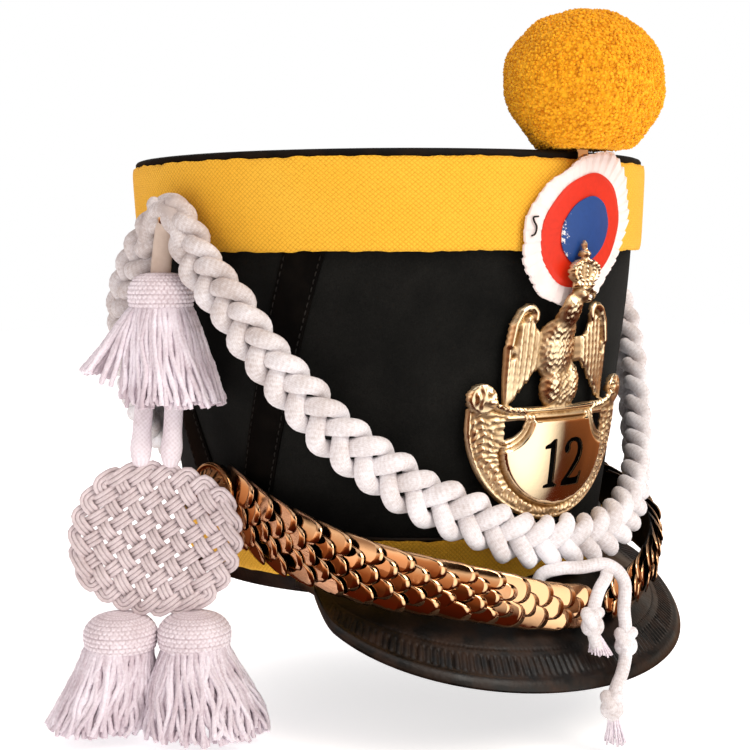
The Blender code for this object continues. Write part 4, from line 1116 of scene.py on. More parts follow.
@dataclass
class Visor:
    """Leather peak: seam under the band, a smooth middle, a ribbed border and a rolled edge."""

    half_width: float = 104.8 * MM
    reach: float = 81.3 * MM
    centre_y: float = -60.2 * MM
    edge_z: Pair = mm(7.5, -32.3)
    drop_power: float = 0.658
    sweep: float = 100.0
    taper_from: float = 80.0
    end_share: float = 0.25
    seam_share: float = 0.72
    crowning: float = 4 * MM
    seam_z: Pair = mm(3, 6)
    thickness: float = 2.6 * MM
    columns: int = 680
    rib: float = 3.2 * MM
    rib_zone: Pair = mm(5, 13)
    rib_depth: float = 1.0 * MM
    groove: float = 16.0 * MM

    def build(self) -> None:
        """One closed shell."""
        angle = np.linspace(-1, 1, self.columns) * math.radians(self.sweep)
        edge = np.stack([
            self.half_width * np.sin(angle), self.centre_y - self.reach * np.cos(angle),
            between(self.edge_z, np.maximum(0, np.cos(angle)) ** self.drop_power)], axis=-1)
        bend = (angle / math.radians(self.sweep)) ** 2
        seam = FORM.point(angle * self.seam_share, between(self.seam_z, bend), 1.2 * MM)
        past = ramp(np.degrees(np.abs(angle)), self.taper_from, self.sweep)
        kept = 1 - (1 - self.end_share) * past * past * (3 - 2 * past)
        edge = between((seam, edge), kept[:, None])
        width = np.linalg.norm(edge - seam, axis=1)
        walked = walk(edge)
        inset = np.concatenate([[0, 0.25, 0.7, 1.3, 2.1, 3.0, 3.9], np.arange(4.6, 18.5, 0.6)]) * MM
        border = 1 - inset[-1] / np.maximum(width, 1 * MM)
        shares = np.array([1 - row / np.maximum(width, 1 * MM) for row in inset]
                          + [border * t for t in np.linspace(1, 0, 13)[1:]])
        shares = np.clip(shares, 0, 1)[::-1]
        from_edge = (1 - shares) * width
        points = between((seam, edge), shares[..., None])
        points[..., 2] += self.arch(angle, shares) + self.relief(from_edge, walked[None, :], width[None, :])
        under_shares = np.array([1.0, 0.985, 0.9, 0.7, 0.5, 0.25, 0.0])[:, None] * np.ones_like(angle)
        under = between((seam, edge), under_shares[..., None])
        deep = self.thickness * np.array([0.55, 1.05, 1.2, 1.2, 1.2, 1.1, 0.9])[:, None]
        under[..., 2] += self.arch(angle, under_shares) - deep
        shell = np.concatenate([points, under])
        steps = np.concatenate([from_edge[:, self.columns // 2], from_edge[-1, 0] + np.arange(8) * 10 * MM])
        patch = cap_sides(grid_patch(shell, chart(walked, steps), wrap_rows=True), len(shell), self.columns)
        piece("leather_visor", [flipped(patch)], GLAZED, ["visor"], sharp=75)

    def arch(self, angle: Array, share: Array) -> Array:
        """Rise of the leather between its seam and its edge."""
        return 4 * self.crowning * np.maximum(0, np.cos(angle)) * share * (1 - share)

    def relief(self, from_edge: Array, along: Array, width: Array) -> Array:
        """Height of the rolled edge, the ribs and the dotted groove."""
        low, high = self.rib_zone
        zone = ramp((high - low) / 2 - np.abs(from_edge - (low + high) / 2), 0, 0.8 * MM)
        ribs = zone * self.rib_depth * (np.abs(np.sin(math.pi * along / self.rib)) ** 0.7 - 0.75)
        roll = 0.9 * MM * bell(from_edge - 2.1 * MM, 1.7 * MM) - 1.1 * MM * np.exp(-from_edge / (0.5 * MM))
        ditch = -0.4 * MM * bell(from_edge - self.groove, 0.5 * MM)
        dots = 0.6 + 0.4 * np.sin(TURN * along / (2.2 * MM))
        return (ribs + ditch * dots) * ramp(width, 24 * MM, 38 * MM) + roll * ramp(width, 0, 12 * MM)


# ---- pompom and cockade


@dataclass
class Pompom:
    """Ball of clipped yarn on a flat pin."""

    centre: Spot = mm(0, -118, 217.5)
    radius: float = 33.2 * MM
    upper: float = 28.6 * MM
    lower: float = 34.0 * MM
    seat: float = 189.8 * MM
    yarn_spacing: float = 1.2 * MM
    yarn_width: float = 0.85 * MM
    yarn_height: float = 0.95 * MM
    pin_sides_mm: Pair = (-9.0, -3.0)
    pin_faces_mm: Pair = (4.9, 5.5)
    pin_heights_mm: tuple[float, ...] = (150.3, 160, 175, 188.6)

    def build(self) -> None:
        """The ball under its yarn ends, and the pin."""
        rings, sides = 48, 72
        tilt = np.linspace(0.02, math.pi - 0.02, rings)[:, None]
        turn = turn_angles(sides)
        lumps = 1 + 0.012 * np.sin(5 * turn + 3 * tilt) + 0.012 * np.sin(9 * tilt - 4 * turn)
        lumps = lumps - 0.035 * bell(tilt - 2.2, 0.4) * (0.5 - 0.5 * np.cos(turn + 0.8))
        tall = np.where(np.cos(tilt) > 0, self.upper, self.lower)
        reach = self.radius * lumps * np.sin(tilt)
        points = np.stack([
            self.centre[0] + reach * np.cos(turn), self.centre[1] + reach * np.sin(turn),
            np.maximum(self.seat, self.centre[2] + tall * lumps * np.cos(tilt))], axis=-1)
        patch = grid_patch(points[::-1], np.zeros((rings, sides + 1, 2)), wrap_columns=True)
        base = piece("wool_pompom", [cap_ends(patch, rings, sides)], PILE, ride=False)
        grow(base, pile_tree(), {
            "Yarn spacing": self.yarn_spacing, "Yarn width": self.yarn_width, "Yarn height": self.yarn_height,
            "Seed": 7}, PILE, ["pompom"])
        (left, right), (back, face) = self.pin_sides_mm, self.pin_faces_mm
        rows = [FORM.front(*mm(x, z, out)) for z in self.pin_heights_mm
                for x, out in ((left, back), (left, face), (right, face), (right, back))]
        strip = grid_patch(np.array(rows).reshape(4, 4, 3), np.zeros((4, 5, 2)), wrap_columns=True)
        piece("pompom_pin", [cap_ends(strip, 4, 4)], STAMPED, ["pompom_stem"])


@dataclass
class Disc:
    """One round layer of the cockade, which follows the crown's front.

    Attributes:
        name: The piece's name.
        node: The solid that it stands for.
        radius: Outer radius.
        back: Distance of its back from the felt.
        finish: Its finish.
        sides: Points round it.
    """

    name: str
    node: str
    radius: float
    back: float
    finish: Finish
    sides: int
    shift: float = -6 * MM
    lean: float = 0.2
    z: float = 155.2 * MM
    pleats: int = 40

    def height(self, share: Array, turn: Array) -> Array:
        """Height of the face over the back, from the share of the radius and the angle."""
        if self.finish is TAWED:
            outer = ramp(share, 0.6, 1.0)
            saw = (self.pleats * turn / TURN + 0.3 * np.sin(3 * turn)) % 1.0
            return 1.2 * MM + outer * (1.15 * MM * saw + 0.5 * MM * np.sin(2 * turn + 0.6)) - 0.5 * MM * (share > 0.985)
        if self.finish is RED:
            return 0.8 * MM - 0.35 * MM * (share > 0.96) + 0.15 * MM * np.sin(3 * turn)
        return 0.5 * MM + 1.3 * MM * (1 - share ** 2) + 0 * turn

    def rim(self, turn: Array) -> Array:
        """Factor on the radius for an angle."""
        if self.finish is TAWED:
            saw = (self.pleats * turn / TURN) % 1.0
            bulges = 0.07 * bell(turn - 1.0, 0.35) - 0.08 * bell(turn - 2.3, 0.5)
            bulges -= 0.05 * (bell(turn - 3.9, 0.45) + bell(turn - 5.6, 0.6))
            return 1 + 0.02 * np.sin(5 * turn + 1) + 0.012 * np.sin(11 * turn) + 0.014 * (saw - 0.5) + bulges
        return 1 + 0.012 * np.sin(4 * turn + 2) + 0.006 * np.sin(9 * turn)

    def build(self) -> None:
        """A closed disc with its back flat."""
        turn = turn_angles(self.sides)
        shares = np.concatenate([np.linspace(0.02, 0.9, 18), [0.94, 0.97, 0.99, 1.0]])[:, None]
        reach = self.radius * shares * self.rim(turn)
        up = self.z + reach * np.sin(turn)
        across = self.shift + reach * np.cos(turn) + self.lean * (up - self.z)
        high = self.height(shares, turn)
        face = FORM.front(across, up, self.back + high)
        low = FORM.front(across[::-1], up[::-1], self.back + np.maximum(0, high[::-1] - 1.0 * MM) * 0.8)
        flat = np.stack([across - self.shift, up - self.z], axis=-1)
        spots = np.pad(np.concatenate([flat, flat[::-1]]), ((0, 0), (0, 1), (0, 0)), mode="wrap")
        shell = grid_patch(np.concatenate([face, low]), spots, wrap_columns=True)
        piece(self.name, [flipped(cap_ends(shell, 2 * len(shares), self.sides))], self.finish, [self.node], sharp=70)


@dataclass
class Cockade:
    """Round cockade: a pleated white disc, a red one and a domed blue one."""

    discs: tuple[Disc, ...] = (
        Disc("white_rosette", "cockade_white", 32.3 * MM, 6.4 * MM, TAWED, 320),
        Disc("red_ring", "cockade_red", 23.5 * MM, 7.9 * MM, RED, 120),
        Disc("blue_boss", "cockade_blue", 14.0 * MM, 8.9 * MM, BLUE, 96),
    )
    loose_mm: tuple[Spot, ...] = (
        (-26.8, 5.6, 9.1), (-29.0, 5.2, 9.0), (-28.6, 3.6, 9.0), (-27.4, 1.4, 9.1), (-28.0, -1.4, 9.1),
        (-29.6, -2.2, 9.1))

    def build(self) -> None:
        """The three discs and the thread that shows on the white one."""
        for disc in self.discs:
            disc.build()
        first = self.discs[0]
        path = spline([FORM.front(first.shift + x * MM, first.z + up * MM, out * MM)
                       for x, up, out in self.loose_mm], 0.5 * MM)
        piece("cockade_thread", [tube(path, 0.4 * MM, sides=6)], THREAD)


# ---- eagle plate


def arc(centre: Pair, radii: Pair, start: float, end: float, count: int) -> list[Pair]:
    """Points on part of an oval, between two angles in degrees."""
    return [(centre[0] + radii[0] * math.cos(a), centre[1] + radii[1] * math.sin(a))
            for a in np.radians(np.linspace(start, end, count))]


def laid_over(height: Array, inside: Array, more: Array) -> Array:
    """The height, raised to another one inside a form."""
    return np.where(inside > 0, np.maximum(height, more), height)


@dataclass
class EaglePlate:
    """Brass plate, die-stamped: a crowned eagle over a crescent shield with a pierced number.

    Its drawing is flat, in millimetres from its middle line and from the hat's lower rim, and is
    bent round the crown last.
    """

    shift: float = -10.7
    sheet: float = 0.8
    stand_off: float = 3.0
    lean: float = 7.6
    lean_heights: Pair = (110.0, 125.0)
    lean_sides: Pair = (9.5, 16.0)
    step: float = 0.5
    low: Pair = (-53.0, 30.0)
    high: Pair = (53.0, 152.0)
    shield_bottom: float = 32.5
    number_height: float = 21.0
    number_base: float = 47.0
    blades: int = 7
    lion: tuple[float, float, float, float] = (41.6, 86.4, 6.6, 6.3)
    body: dict[str, tuple[float, float, float, float]] = field(default_factory=lambda: {
        "thighs": (-0.8, 90, 11.0, 12), "chest": (-4.6, 106, 11.0, 14.5), "neck": (-3.6, 119, 6.2, 10.5),
        "head": (-0.2, 128.7, 4.6, 4.0)})

    def __post_init__(self) -> None:
        """Lay the grid that the drawing is sampled on."""
        xs = np.arange(self.low[0], self.high[0] + self.step, self.step)
        zs = np.arange(self.low[1], self.high[1] + self.step, self.step)
        self.x, self.z = np.meshgrid(xs, zs, indexing="ij")
        self.side = np.abs(self.x)

    def to_line(self, points: Sequence[Pair], mirror: bool = True) -> tuple[Array, Array]:
        """Distance to a polyline, and the length along it of the nearest point.

        Args:
            points: The polyline.
            mirror: Whether it's drawn on both sides.

        Returns:
            Both as arrays on the grid.
        """
        x = self.side if mirror else self.x
        best, place, walked = np.full(x.shape, 1e9), np.zeros(x.shape), 0.0
        for (ax, az), (bx, bz) in zip(points, points[1:]):
            run = max(1e-9, math.hypot(bx - ax, bz - az))
            t = np.clip(((x - ax) * (bx - ax) + (self.z - az) * (bz - az)) / run ** 2, 0, 1)
            gap = np.hypot(x - ax - t * (bx - ax), self.z - az - t * (bz - az))
            place = np.where(gap < best, walked + t * run, place)
            best = np.minimum(best, gap)
            walked += run
        return best, place

    def within(self, outline: Sequence[Pair], mirror: bool = True) -> Array:
        """Distance inside an outline, negative outside; a mirrored one is open along the middle line."""
        x = self.side if mirror else self.x
        closed = [*outline, outline[0]]
        gap, _ = self.to_line(outline if mirror and outline[0][0] == 0 else closed, mirror)
        inside = np.zeros(x.shape, bool)
        for (ax, az), (bx, bz) in zip(closed, closed[1:]):
            if az != bz:
                crosses = (az > self.z) != (bz > self.z)
                inside ^= crosses & (x < ax + (self.z - az) * (bx - ax) / (bz - az))
        return np.where(inside, gap, -gap)

    def oval(self, x: float, z: float, wide: float, tall: float) -> Array:
        """Distance inside an oval, negative outside, nearly."""
        return (1 - np.hypot((self.x - x) / wide, (self.z - z) / tall)) * min(wide, tall)

    def dome(self, x: float, z: float, wide: float, tall: float, rise: float) -> Array:
        """Height of a rounded swelling."""
        return rise * np.clip(1 - ((self.x - x) / wide) ** 2 - ((self.z - z) / tall) ** 2, 0, 1) ** 0.7

    def ridge(self, gap: Array, half: float, rise: float | Array) -> Array:
        """Height of a round ridge, from the distance to its line."""
        return rise * half_round(gap / half)

    def scallops(self, wide: float, tall: float) -> Array:
        """Overlapping small feathers, tips down, from 0 to 1."""
        rows = [self.z / (2 * tall) + half + 0.25 * np.cos(TURN * (self.x / wide + half)) for half in (0.0, 0.5)]
        return np.maximum(*(np.clip(1 - 1.7 * (row % 1.0), 0, 1) for row in rows))

    def shield_outline(self) -> list[Pair]:
        """Right half of the shield's edge with the bar over it."""
        edge = arc((0, 76), (47.5, self.shield_bottom - 76), 0, 90, 25)[1:-1]
        return [(0, 81.6), (31, 82.2), (36, 85), (42, 86), (47.2, 82), *edge, (0, self.shield_bottom)]

    def field_outline(self) -> list[Pair]:
        """Right half of the polished field's edge: a curtain's curve above, a bowl below."""
        bowl = arc((0, 65), (31.2, -26.2), 2.8648, 90, 24)[:-1]
        return [(0, 76.4), (17.2, 76.4), *arc((32, 79), (15, 15), 190, 262, 8), *bowl, (0, 38.8)]

    def wing_outline(self) -> list[Pair]:
        """Right wing with the points of its blades."""
        return [(16.6, 116.5), (15.2, 119.5), (15.6, 122.6), (17.5, 124.9), (21.3, 125.3), (25.4, 123), (29, 117),
                (30.9, 107), (30.9, 95), (30.5, 82.0), (29.1, 80.6), (27.0, 84.2), (25.9, 83.9), (23.4, 88.2),
                (22.6, 87.8), (20, 92.0), (19, 91.6), (16, 96.8), (14.8, 96.6), (12, 100), (4, 100), (4, 110),
                (13, 111)]

    def crown_outline(self) -> list[Pair]:
        """Right half of the small crown."""
        return [(0, 151.2), (0.9, 149.6), (0.7, 147.4), (2.0, 146.4), (2.0, 144.6), (1.2, 143.6), (4.8, 143.0),
                (7.6, 141.2), (8.6, 138.6), (7.8, 135.9), (5.6, 133.8), (5.6, 131.2), (0, 131.2)]

    def digits(self) -> Array:
        """Distance inside the nearer digit of the number, negative outside."""
        one = [(0.06, 0), (0.44, 0), (0.44, 0.06), (0.34, 0.09), (0.34, 1.0), (0.26, 1.0), (0.15, 0.92),
               (0.02, 0.87), (0.02, 0.80), (0.17, 0.81), (0.17, 0.09), (0.06, 0.06)]
        two = [(0.0, 0.0), (0.58, 0.0), (0.64, 0.27), (0.57, 0.27), (0.53, 0.19), (0.46, 0.155), (0.22, 0.155),
               (0.36, 0.29), (0.53, 0.48), (0.60, 0.62), (0.61, 0.75), (0.57, 0.87), (0.48, 0.96), (0.34, 1.0),
               (0.18, 0.985), (0.06, 0.91), (0.0, 0.80), (0.02, 0.71), (0.09, 0.67), (0.16, 0.70), (0.19, 0.77),
               (0.17, 0.84), (0.22, 0.90), (0.31, 0.91), (0.39, 0.87), (0.43, 0.77), (0.42, 0.65), (0.35, 0.51),
               (0.18, 0.30), (0.0, 0.10)]
        return np.maximum(*(
            self.within([(start + self.number_height * u, self.number_base + self.number_height * v) for u, v in digit],
                        mirror=False)
            for digit, start in ((one, -11.5), (two, 0.5))))

    def crescent(self, shield: Array, plain: Array) -> Array:
        """Leaf border with a smooth outer rim, and the domed field.

        Args:
            shield: Distance inside the shield.
            plain: Distance inside the field.

        Returns:
            The height of both.
        """
        turn = np.arctan2(76 - self.z, self.side)
        border = 1.4 + 1.8 * half_round((shield - 8) / 8)
        middle = 6.0 + 1.2 * np.sin(15 * turn)
        leaf = np.abs(np.sin(43 * turn - 0.62 * np.abs(shield - middle))) ** 0.7
        curl = leaf * np.abs(np.cos(0.75 * (shield - middle) + 0.5 * np.sin(43 * turn))) ** 0.5
        fine = np.sin(86 * turn + 2.1 * shield) * np.sin(1.9 * shield)
        leaves = ramp(shield, 1.5, 2.1) * ramp(-plain, 0.6, 1.2)
        border += leaves * (1.3 * curl + 0.3 * fine - 0.6)
        border += 0.6 * self.ridge(shield - 0.8, 0.8, 1.0) - 0.6 * bell(shield - 1.8, 0.35)
        border -= 1.6 * bell(plain + 0.4, 0.6)
        bowl = 3.0 + 3.4 * half_round(np.hypot(self.x / 37, (self.z - 64) / 31))
        return np.where(plain > 0, bowl - 1.0 * (1 - ramp(plain, 0, 0.9)) ** 2, border)

    def bars(self) -> Array:
        """Double bar over the field, ropes to the lions' mouths, and ridges down to the border."""
        made = np.zeros(self.x.shape)
        for level, half in ((80.4, 1.5), (77.6, 1.0)):
            line, _ = self.to_line([(0, level), (29.5, level + 0.2)])
            made = np.maximum(made, 1.9 + self.ridge(line, half, 2.4))
        rope, along = self.to_line([(37.2, 84.2), (33.5, 82.6), (29.5, 81.2), (21, 80.2)])
        lay = np.sin(TURN * (along / 2.3 + 0.3 * (self.z - 82)))
        made = np.maximum(made, 1.6 + self.ridge(rope, 2.1, 3.0 + 0.7 * lay))
        for radius in (11.6, 13.7, 15.6):
            line, _ = self.to_line(arc((32, 79), (radius, radius), 184, 264, 10))
            made = np.maximum(made, 2.2 + self.ridge(line, 1.0, 2.6))
        return np.where(made > 2.3, made, 0)

    def wing_face(self, wing: Array) -> Array:
        """Long ridged feathers inside a rolled rim with two slots."""
        share = ramp((self.side - 9.5 - 0.11 * (124 - self.z)) / (21.5 - 0.11 * (124 - self.z)), 0, 1)
        blade = np.sin(math.pi * self.blades * share)
        blades, barbs = np.abs(blade) ** 0.6, 0.10 * np.sin(2.0 * self.z + 4 * blade)
        made = 1.4 + 0.7 * ramp(wing, 0, 1.2) + (0.25 + 0.6 * ramp(self.z, 90, 104)) * blades + barbs
        made += 0.7 * self.scallops(2.6, 2.2) * ramp(self.z, 116, 119)
        rim, _ = self.to_line([(17.2, 118.6), (16.9, 121.4), (18.8, 123.5), (21.6, 123.5), (24.4, 121.8), (27.4, 116.6),
                               (29.0, 108)])
        slot, along = self.to_line([(19.5, 120.9), (22.3, 119.6), (24.9, 115.5), (26.6, 109), (27.0, 103)])
        made = np.maximum(made, 1.7 + self.ridge(rim, 1.7, 2.1))
        return made - 2.1 * bell(slot, 0.7) * (0.4 + 0.6 * (np.sin(along / 1.6) > -0.4))

    def bird(self) -> tuple[Array, Array]:
        """The bird's body under small feathers, its beak and eye.

        Returns:
            The distance inside it, and its height.
        """
        x, z = self.x, self.z
        inside, made = np.full(x.shape, -99.0), np.zeros(x.shape)
        flames = np.abs(np.sin(1.9 * x + 0.9 * np.sin(1.1 * z))) * np.abs(np.sin(1.15 * z + 0.8 * np.cos(1.9 * x)))
        beads = np.sin(2.1 * x + np.sin(0.9 * z)) * np.sin(2.0 * z + 1.2 * np.sin(1.1 * x))
        for name, swell, deep in (("thighs", 4.4, 0.55 * beads), ("chest", 5.4, 0.8 * flames + 0.2 * beads),
                                  ("neck", 4.4, 0.8 * flames), ("head", 4.6, 0.2 * beads)):
            body = self.oval(*self.body[name])
            made = laid_over(made, body, 0.8 + self.dome(*self.body[name], swell) + deep * ramp(body, 0, 2))
            inside = np.maximum(inside, body)
        for spot in (-6.0, 4.4):
            made = laid_over(made, inside, 2.4 + self.dome(spot, 91, 5.0, 9.5, 3.4) + 0.45 * beads)
        beak = [self.within(part, mirror=False) for part in (
            [(2.0, 131.4), (4.8, 131.3), (7.6, 130.2), (8.9, 127.9), (8.7, 126.4), (7.2, 128.3), (4.6, 128.9),
             (2.4, 128.4)],
            [(2.2, 127.8), (4.4, 127.6), (6.6, 126.6), (5.6, 125.4), (2.6, 125.2)])]
        for half in beak:
            made = laid_over(made, half, 2.6 + 2.0 * ramp(half, 0, 0.9))
        brow, _ = self.to_line([(-1.2, 131.0), (1.6, 131.2), (3.6, 130.6)], mirror=False)
        made = laid_over(made, inside, self.ridge(brow, 0.8, 6.0))
        made -= 1.8 * bell(np.hypot(x - 1.4, z - 129.3), 0.7) * (made > 0)
        return np.maximum(inside, np.maximum(*beak)), made

    def lion_face(self, way: int) -> Array:
        """Lion's head on one side: mane in rays, muzzle, nose, eye and ear."""
        middle_x, middle_z, wide, tall = way * self.lion[0], *self.lion[1:]
        x, z = (self.x - middle_x) * way, self.z - middle_z
        ray, share = np.arctan2(z, x), np.hypot(x / wide, z / tall)
        made = 1.0 + self.dome(middle_x, middle_z, wide, tall, 4.2)
        mane = np.sin(2.3 * x + 1.5 * np.sin(0.7 * z + 0.5 * x)) * ramp(x, -1.5, 0.5)
        made += 0.9 * mane * ramp(share, 0.2, 0.5) + 0.3 * np.sin(9 * ray) * ramp(share, 0.6, 0.9)
        for back, up, half, high, start, rise in ((-3.9, -1.3, 3.2, 2.3, 3.3, 2.9), (-6.0, 0.0, 1.2, 0.9, 4.3, 1.6),
                                                  (0.6, 4.0, 1.5, 1.5, 3.0, 2.0), (-2.4, 2.6, 2.2, 0.9, 4.0, 1.6)):
            made = np.maximum(made, start + self.dome(middle_x + way * back, middle_z + up, half, high, rise))
        made -= 1.7 * bell(np.hypot(x + 2.4, z - 1.3), 0.7)
        return made - 1.4 * bell(np.hypot(z + 2.0 + 0.3 * x, np.maximum(0, x + 3)), 0.45)

    def crown_face(self, crown: Array) -> Array:
        """Band, pearled arches and ball of the small crown."""
        band = bell(self.z - 132.6, 0.9) * (1 + 0.4 * np.cos(TURN * self.x / 2.2))
        made = 2.4 + 1.6 * ramp(crown, 0, 1.2) + 1.2 * band
        for line in ([(6.0, 134.6), (8.0, 137), (7.6, 140), (4.4, 142.2), (0, 143.0)], [(0, 134.6), (0, 142.6)],
                     [(2.6, 134.6), (4.6, 137.6), (4.0, 140.6), (1.6, 142.6)]):
            gap, along = self.to_line(line)
            made = np.maximum(made, 3.6 + self.ridge(gap, 0.95, 1.5 + 0.7 * np.cos(TURN * along / 1.8)))
        return np.maximum(made, 3.4 + self.dome(0, 145.4, 1.9, 1.9, 2.0))

    def draw(self) -> tuple[Array, Array]:
        """The drawing.

        Returns:
            The distance inside the plate's outline, and the height of its face in millimetres.
        """
        shield, plain = self.within(self.shield_outline()), self.within(self.field_outline())
        wing, crown = self.within(self.wing_outline()), self.within(self.crown_outline())
        inside, body = self.bird()
        lions = [self.oval(way * self.lion[0], *self.lion[1:]) for way in (-1, 1)]
        outline = np.maximum.reduce([shield, wing, crown, inside, *lions])
        gap = self.within([(30.6, 76.4), (24, 76.8), (20.6, 76.6), (22.4, 72.6), (26, 69.8), (30.4, 68.4)])
        outline = np.minimum(outline, np.minimum(-gap, -self.digits()))
        pressed = np.maximum(self.crescent(shield, plain), self.bars())
        height = laid_over(np.full(shield.shape, 0.9), shield + 0.5, pressed)
        height = np.maximum(laid_over(height, wing, self.wing_face(wing)), body)
        for way, lion in zip((-1, 1), lions):
            height = laid_over(height, lion, self.lion_face(way))
        return outline, laid_over(height, crown, self.crown_face(crown))

    def blurred(self, values: Array, reach: float) -> Array:
        """Average of the values round each point of the grid."""
        kernel = blur_weights(reach, self.step)
        out = np.pad(values, len(kernel) // 2, mode="edge")
        for axis in (0, 1):
            out = np.apply_along_axis(np.convolve, axis, out, kernel, mode="valid")
        return out

    def cut(self, outline: Array) -> tuple[Array, list[list[int]]]:
        """Faces of the part of the grid that is inside the outline.

        Args:
            outline: Distance inside, on the grid.

        Returns:
            Grid coordinates of the corners, and faces anticlockwise.
        """
        least = 0.12 * self.step
        outline = np.where(np.abs(outline) < least, np.where(outline < 0, -least, least), outline)
        inside = outline > 0
        index = -np.ones(outline.shape, int)
        index[inside] = np.arange(inside.sum())
        spots = [tuple(p) for p in np.argwhere(inside).astype(float)]
        edges: dict[tuple, int] = {}
        corners = np.stack([inside[:-1, :-1], inside[1:, :-1], inside[1:, 1:], inside[:-1, 1:]])
        full = corners.all(axis=0)
        faces = [[index[i, j], index[i + 1, j], index[i + 1, j + 1], index[i, j + 1]] for i, j in np.argwhere(full)]
        for i, j in np.argwhere(corners.any(axis=0) & ~full):
            ring = [(i, j), (i + 1, j), (i + 1, j + 1), (i, j + 1)]
            for three in ((0, 1, 2), (0, 2, 3)):
                loop = []
                for here, there in zip((ring[k] for k in three), (ring[k] for k in (*three[1:], three[0]))):
                    if inside[here]:
                        loop.append(int(index[here]))
                    if inside[here] != inside[there]:
                        key = (min(here, there), max(here, there))
                        if key not in edges:
                            share = outline[here] / (outline[here] - outline[there])
                            edges[key] = len(spots)
                            spots.append(tuple(between(ends, share) for ends in zip(here, there)))
                        loop.append(edges[key])
                if len(loop) > 2:
                    faces.append(loop)
        return np.array(spots), faces

    def read(self, grid: Array, spots: Array) -> Array:
        """Values of a grid between its points."""
        low = np.minimum(np.floor(spots).astype(int), np.array(grid.shape) - 2)
        (i, j), (s, t) = low.T, (spots - low).T
        near, far = (between((grid[i, k], grid[i + 1, k]), s) for k in (j, j + 1))
        return between((near, far), t)

    def bent(self, across: Array, up: Array, out: Array) -> Array:
        """Flat places brought to the crown's front, the eagle's head leaning forward."""
        lean = self.lean * ramp(up, *self.lean_heights) * (1 - ramp(np.abs(across), *self.lean_sides))
        return FORM.front((across + self.shift) * MM, up * MM, (out + self.stand_off + lean) * MM)

    def build(self) -> None:
        """Face, back and edge of the plate, bent round the crown, and its pegs."""
        outline, height = self.draw()
        height = self.blurred(height, 0.3)
        plain = self.within(self.field_outline()) > 0.6
        relief = np.where(plain, 1.0, np.clip(0.52 + 0.5 * (height - self.blurred(height, 2.4)), 0, 0.72))
        spots, faces = self.cut(outline)
        across, up, out, shade = (self.read(grid, spots) for grid in (self.x, self.z, height, relief))
        count = len(across)
        edges = {(a, b) for face in faces for a, b in zip(face, face[1:] + face[:1])}
        rim = [(a, b) for a, b in edges if (b, a) not in edges]
        sets = []
        for size in (3, 4, 5):
            some = np.array([face for face in faces if len(face) == size]).reshape(-1, size)
            if len(some):
                sets += [some, some[:, ::-1] + count]
        sets.append(np.array([[b, a, a + count, b + count] for a, b in sorted(rim)]))
        points = np.concatenate([self.bent(across, up, out), self.bent(across, up, np.maximum(out - self.sheet, 0.05))])
        blank = [np.zeros((*some.shape, 2)) for some in sets]
        plate = Patch(points, sets, blank, np.concatenate([shade, 0.3 * shade]))
        pegs = []
        for x, z in ((30, 52), (-30, 52), (0, 96)):
            line = [FORM.front((x + self.shift) * MM, z * MM, t * MM) for t in (0.5, 1.5, 2.5, 4.4)]
            pegs.append(tube(np.array(line), 1.5 * MM, sides=8))
        piece("stamped_eagle_plate", [plate, *pegs], STAMPED, ["eagle_plate"], sharp=55)


# ---- chin straps


def turned(profile: Sequence[Pair], foot: Sequence[float], axis: Sequence[float], sides: int,
           flute: Callable | None = None) -> Patch:
    """A turned form.

    Args:
        profile: Radius and distance along the axis, from its foot to its end, in millimetres.
        foot: Where the axis starts.
        axis: Its unit direction.
        sides: Points round it.
        flute: Extra radius and distance from the angle and the radius, or None.

    Returns:
        The surface with both ends closed.
    """
    rows = np.array(profile, float) * MM
    axis = np.asarray(axis, float)
    first = unit(np.cross(axis, [0.0, 0.0, 1.0])) if abs(axis[2]) < 0.9 else np.array([1.0, 0, 0])
    second = np.cross(axis, first)
    angle = turn_angles(sides)
    radius, along = rows[:, :1] + 0 * angle, rows[:, 1:] + 0 * angle
    if flute is not None:
        radius, along = np.array([radius, along]) + flute(angle, radius)
    points = (np.asarray(foot, float) + along[..., None] * axis
              + radius[..., None] * (np.cos(angle)[:, None] * first + np.sin(angle)[:, None] * second))
    spots = chart(np.linspace(0, TURN * rows[:, 0].max(), sides + 1), walk(rows))
    return cap_ends(grid_patch(points, spots, wrap_columns=True), len(rows), sides)


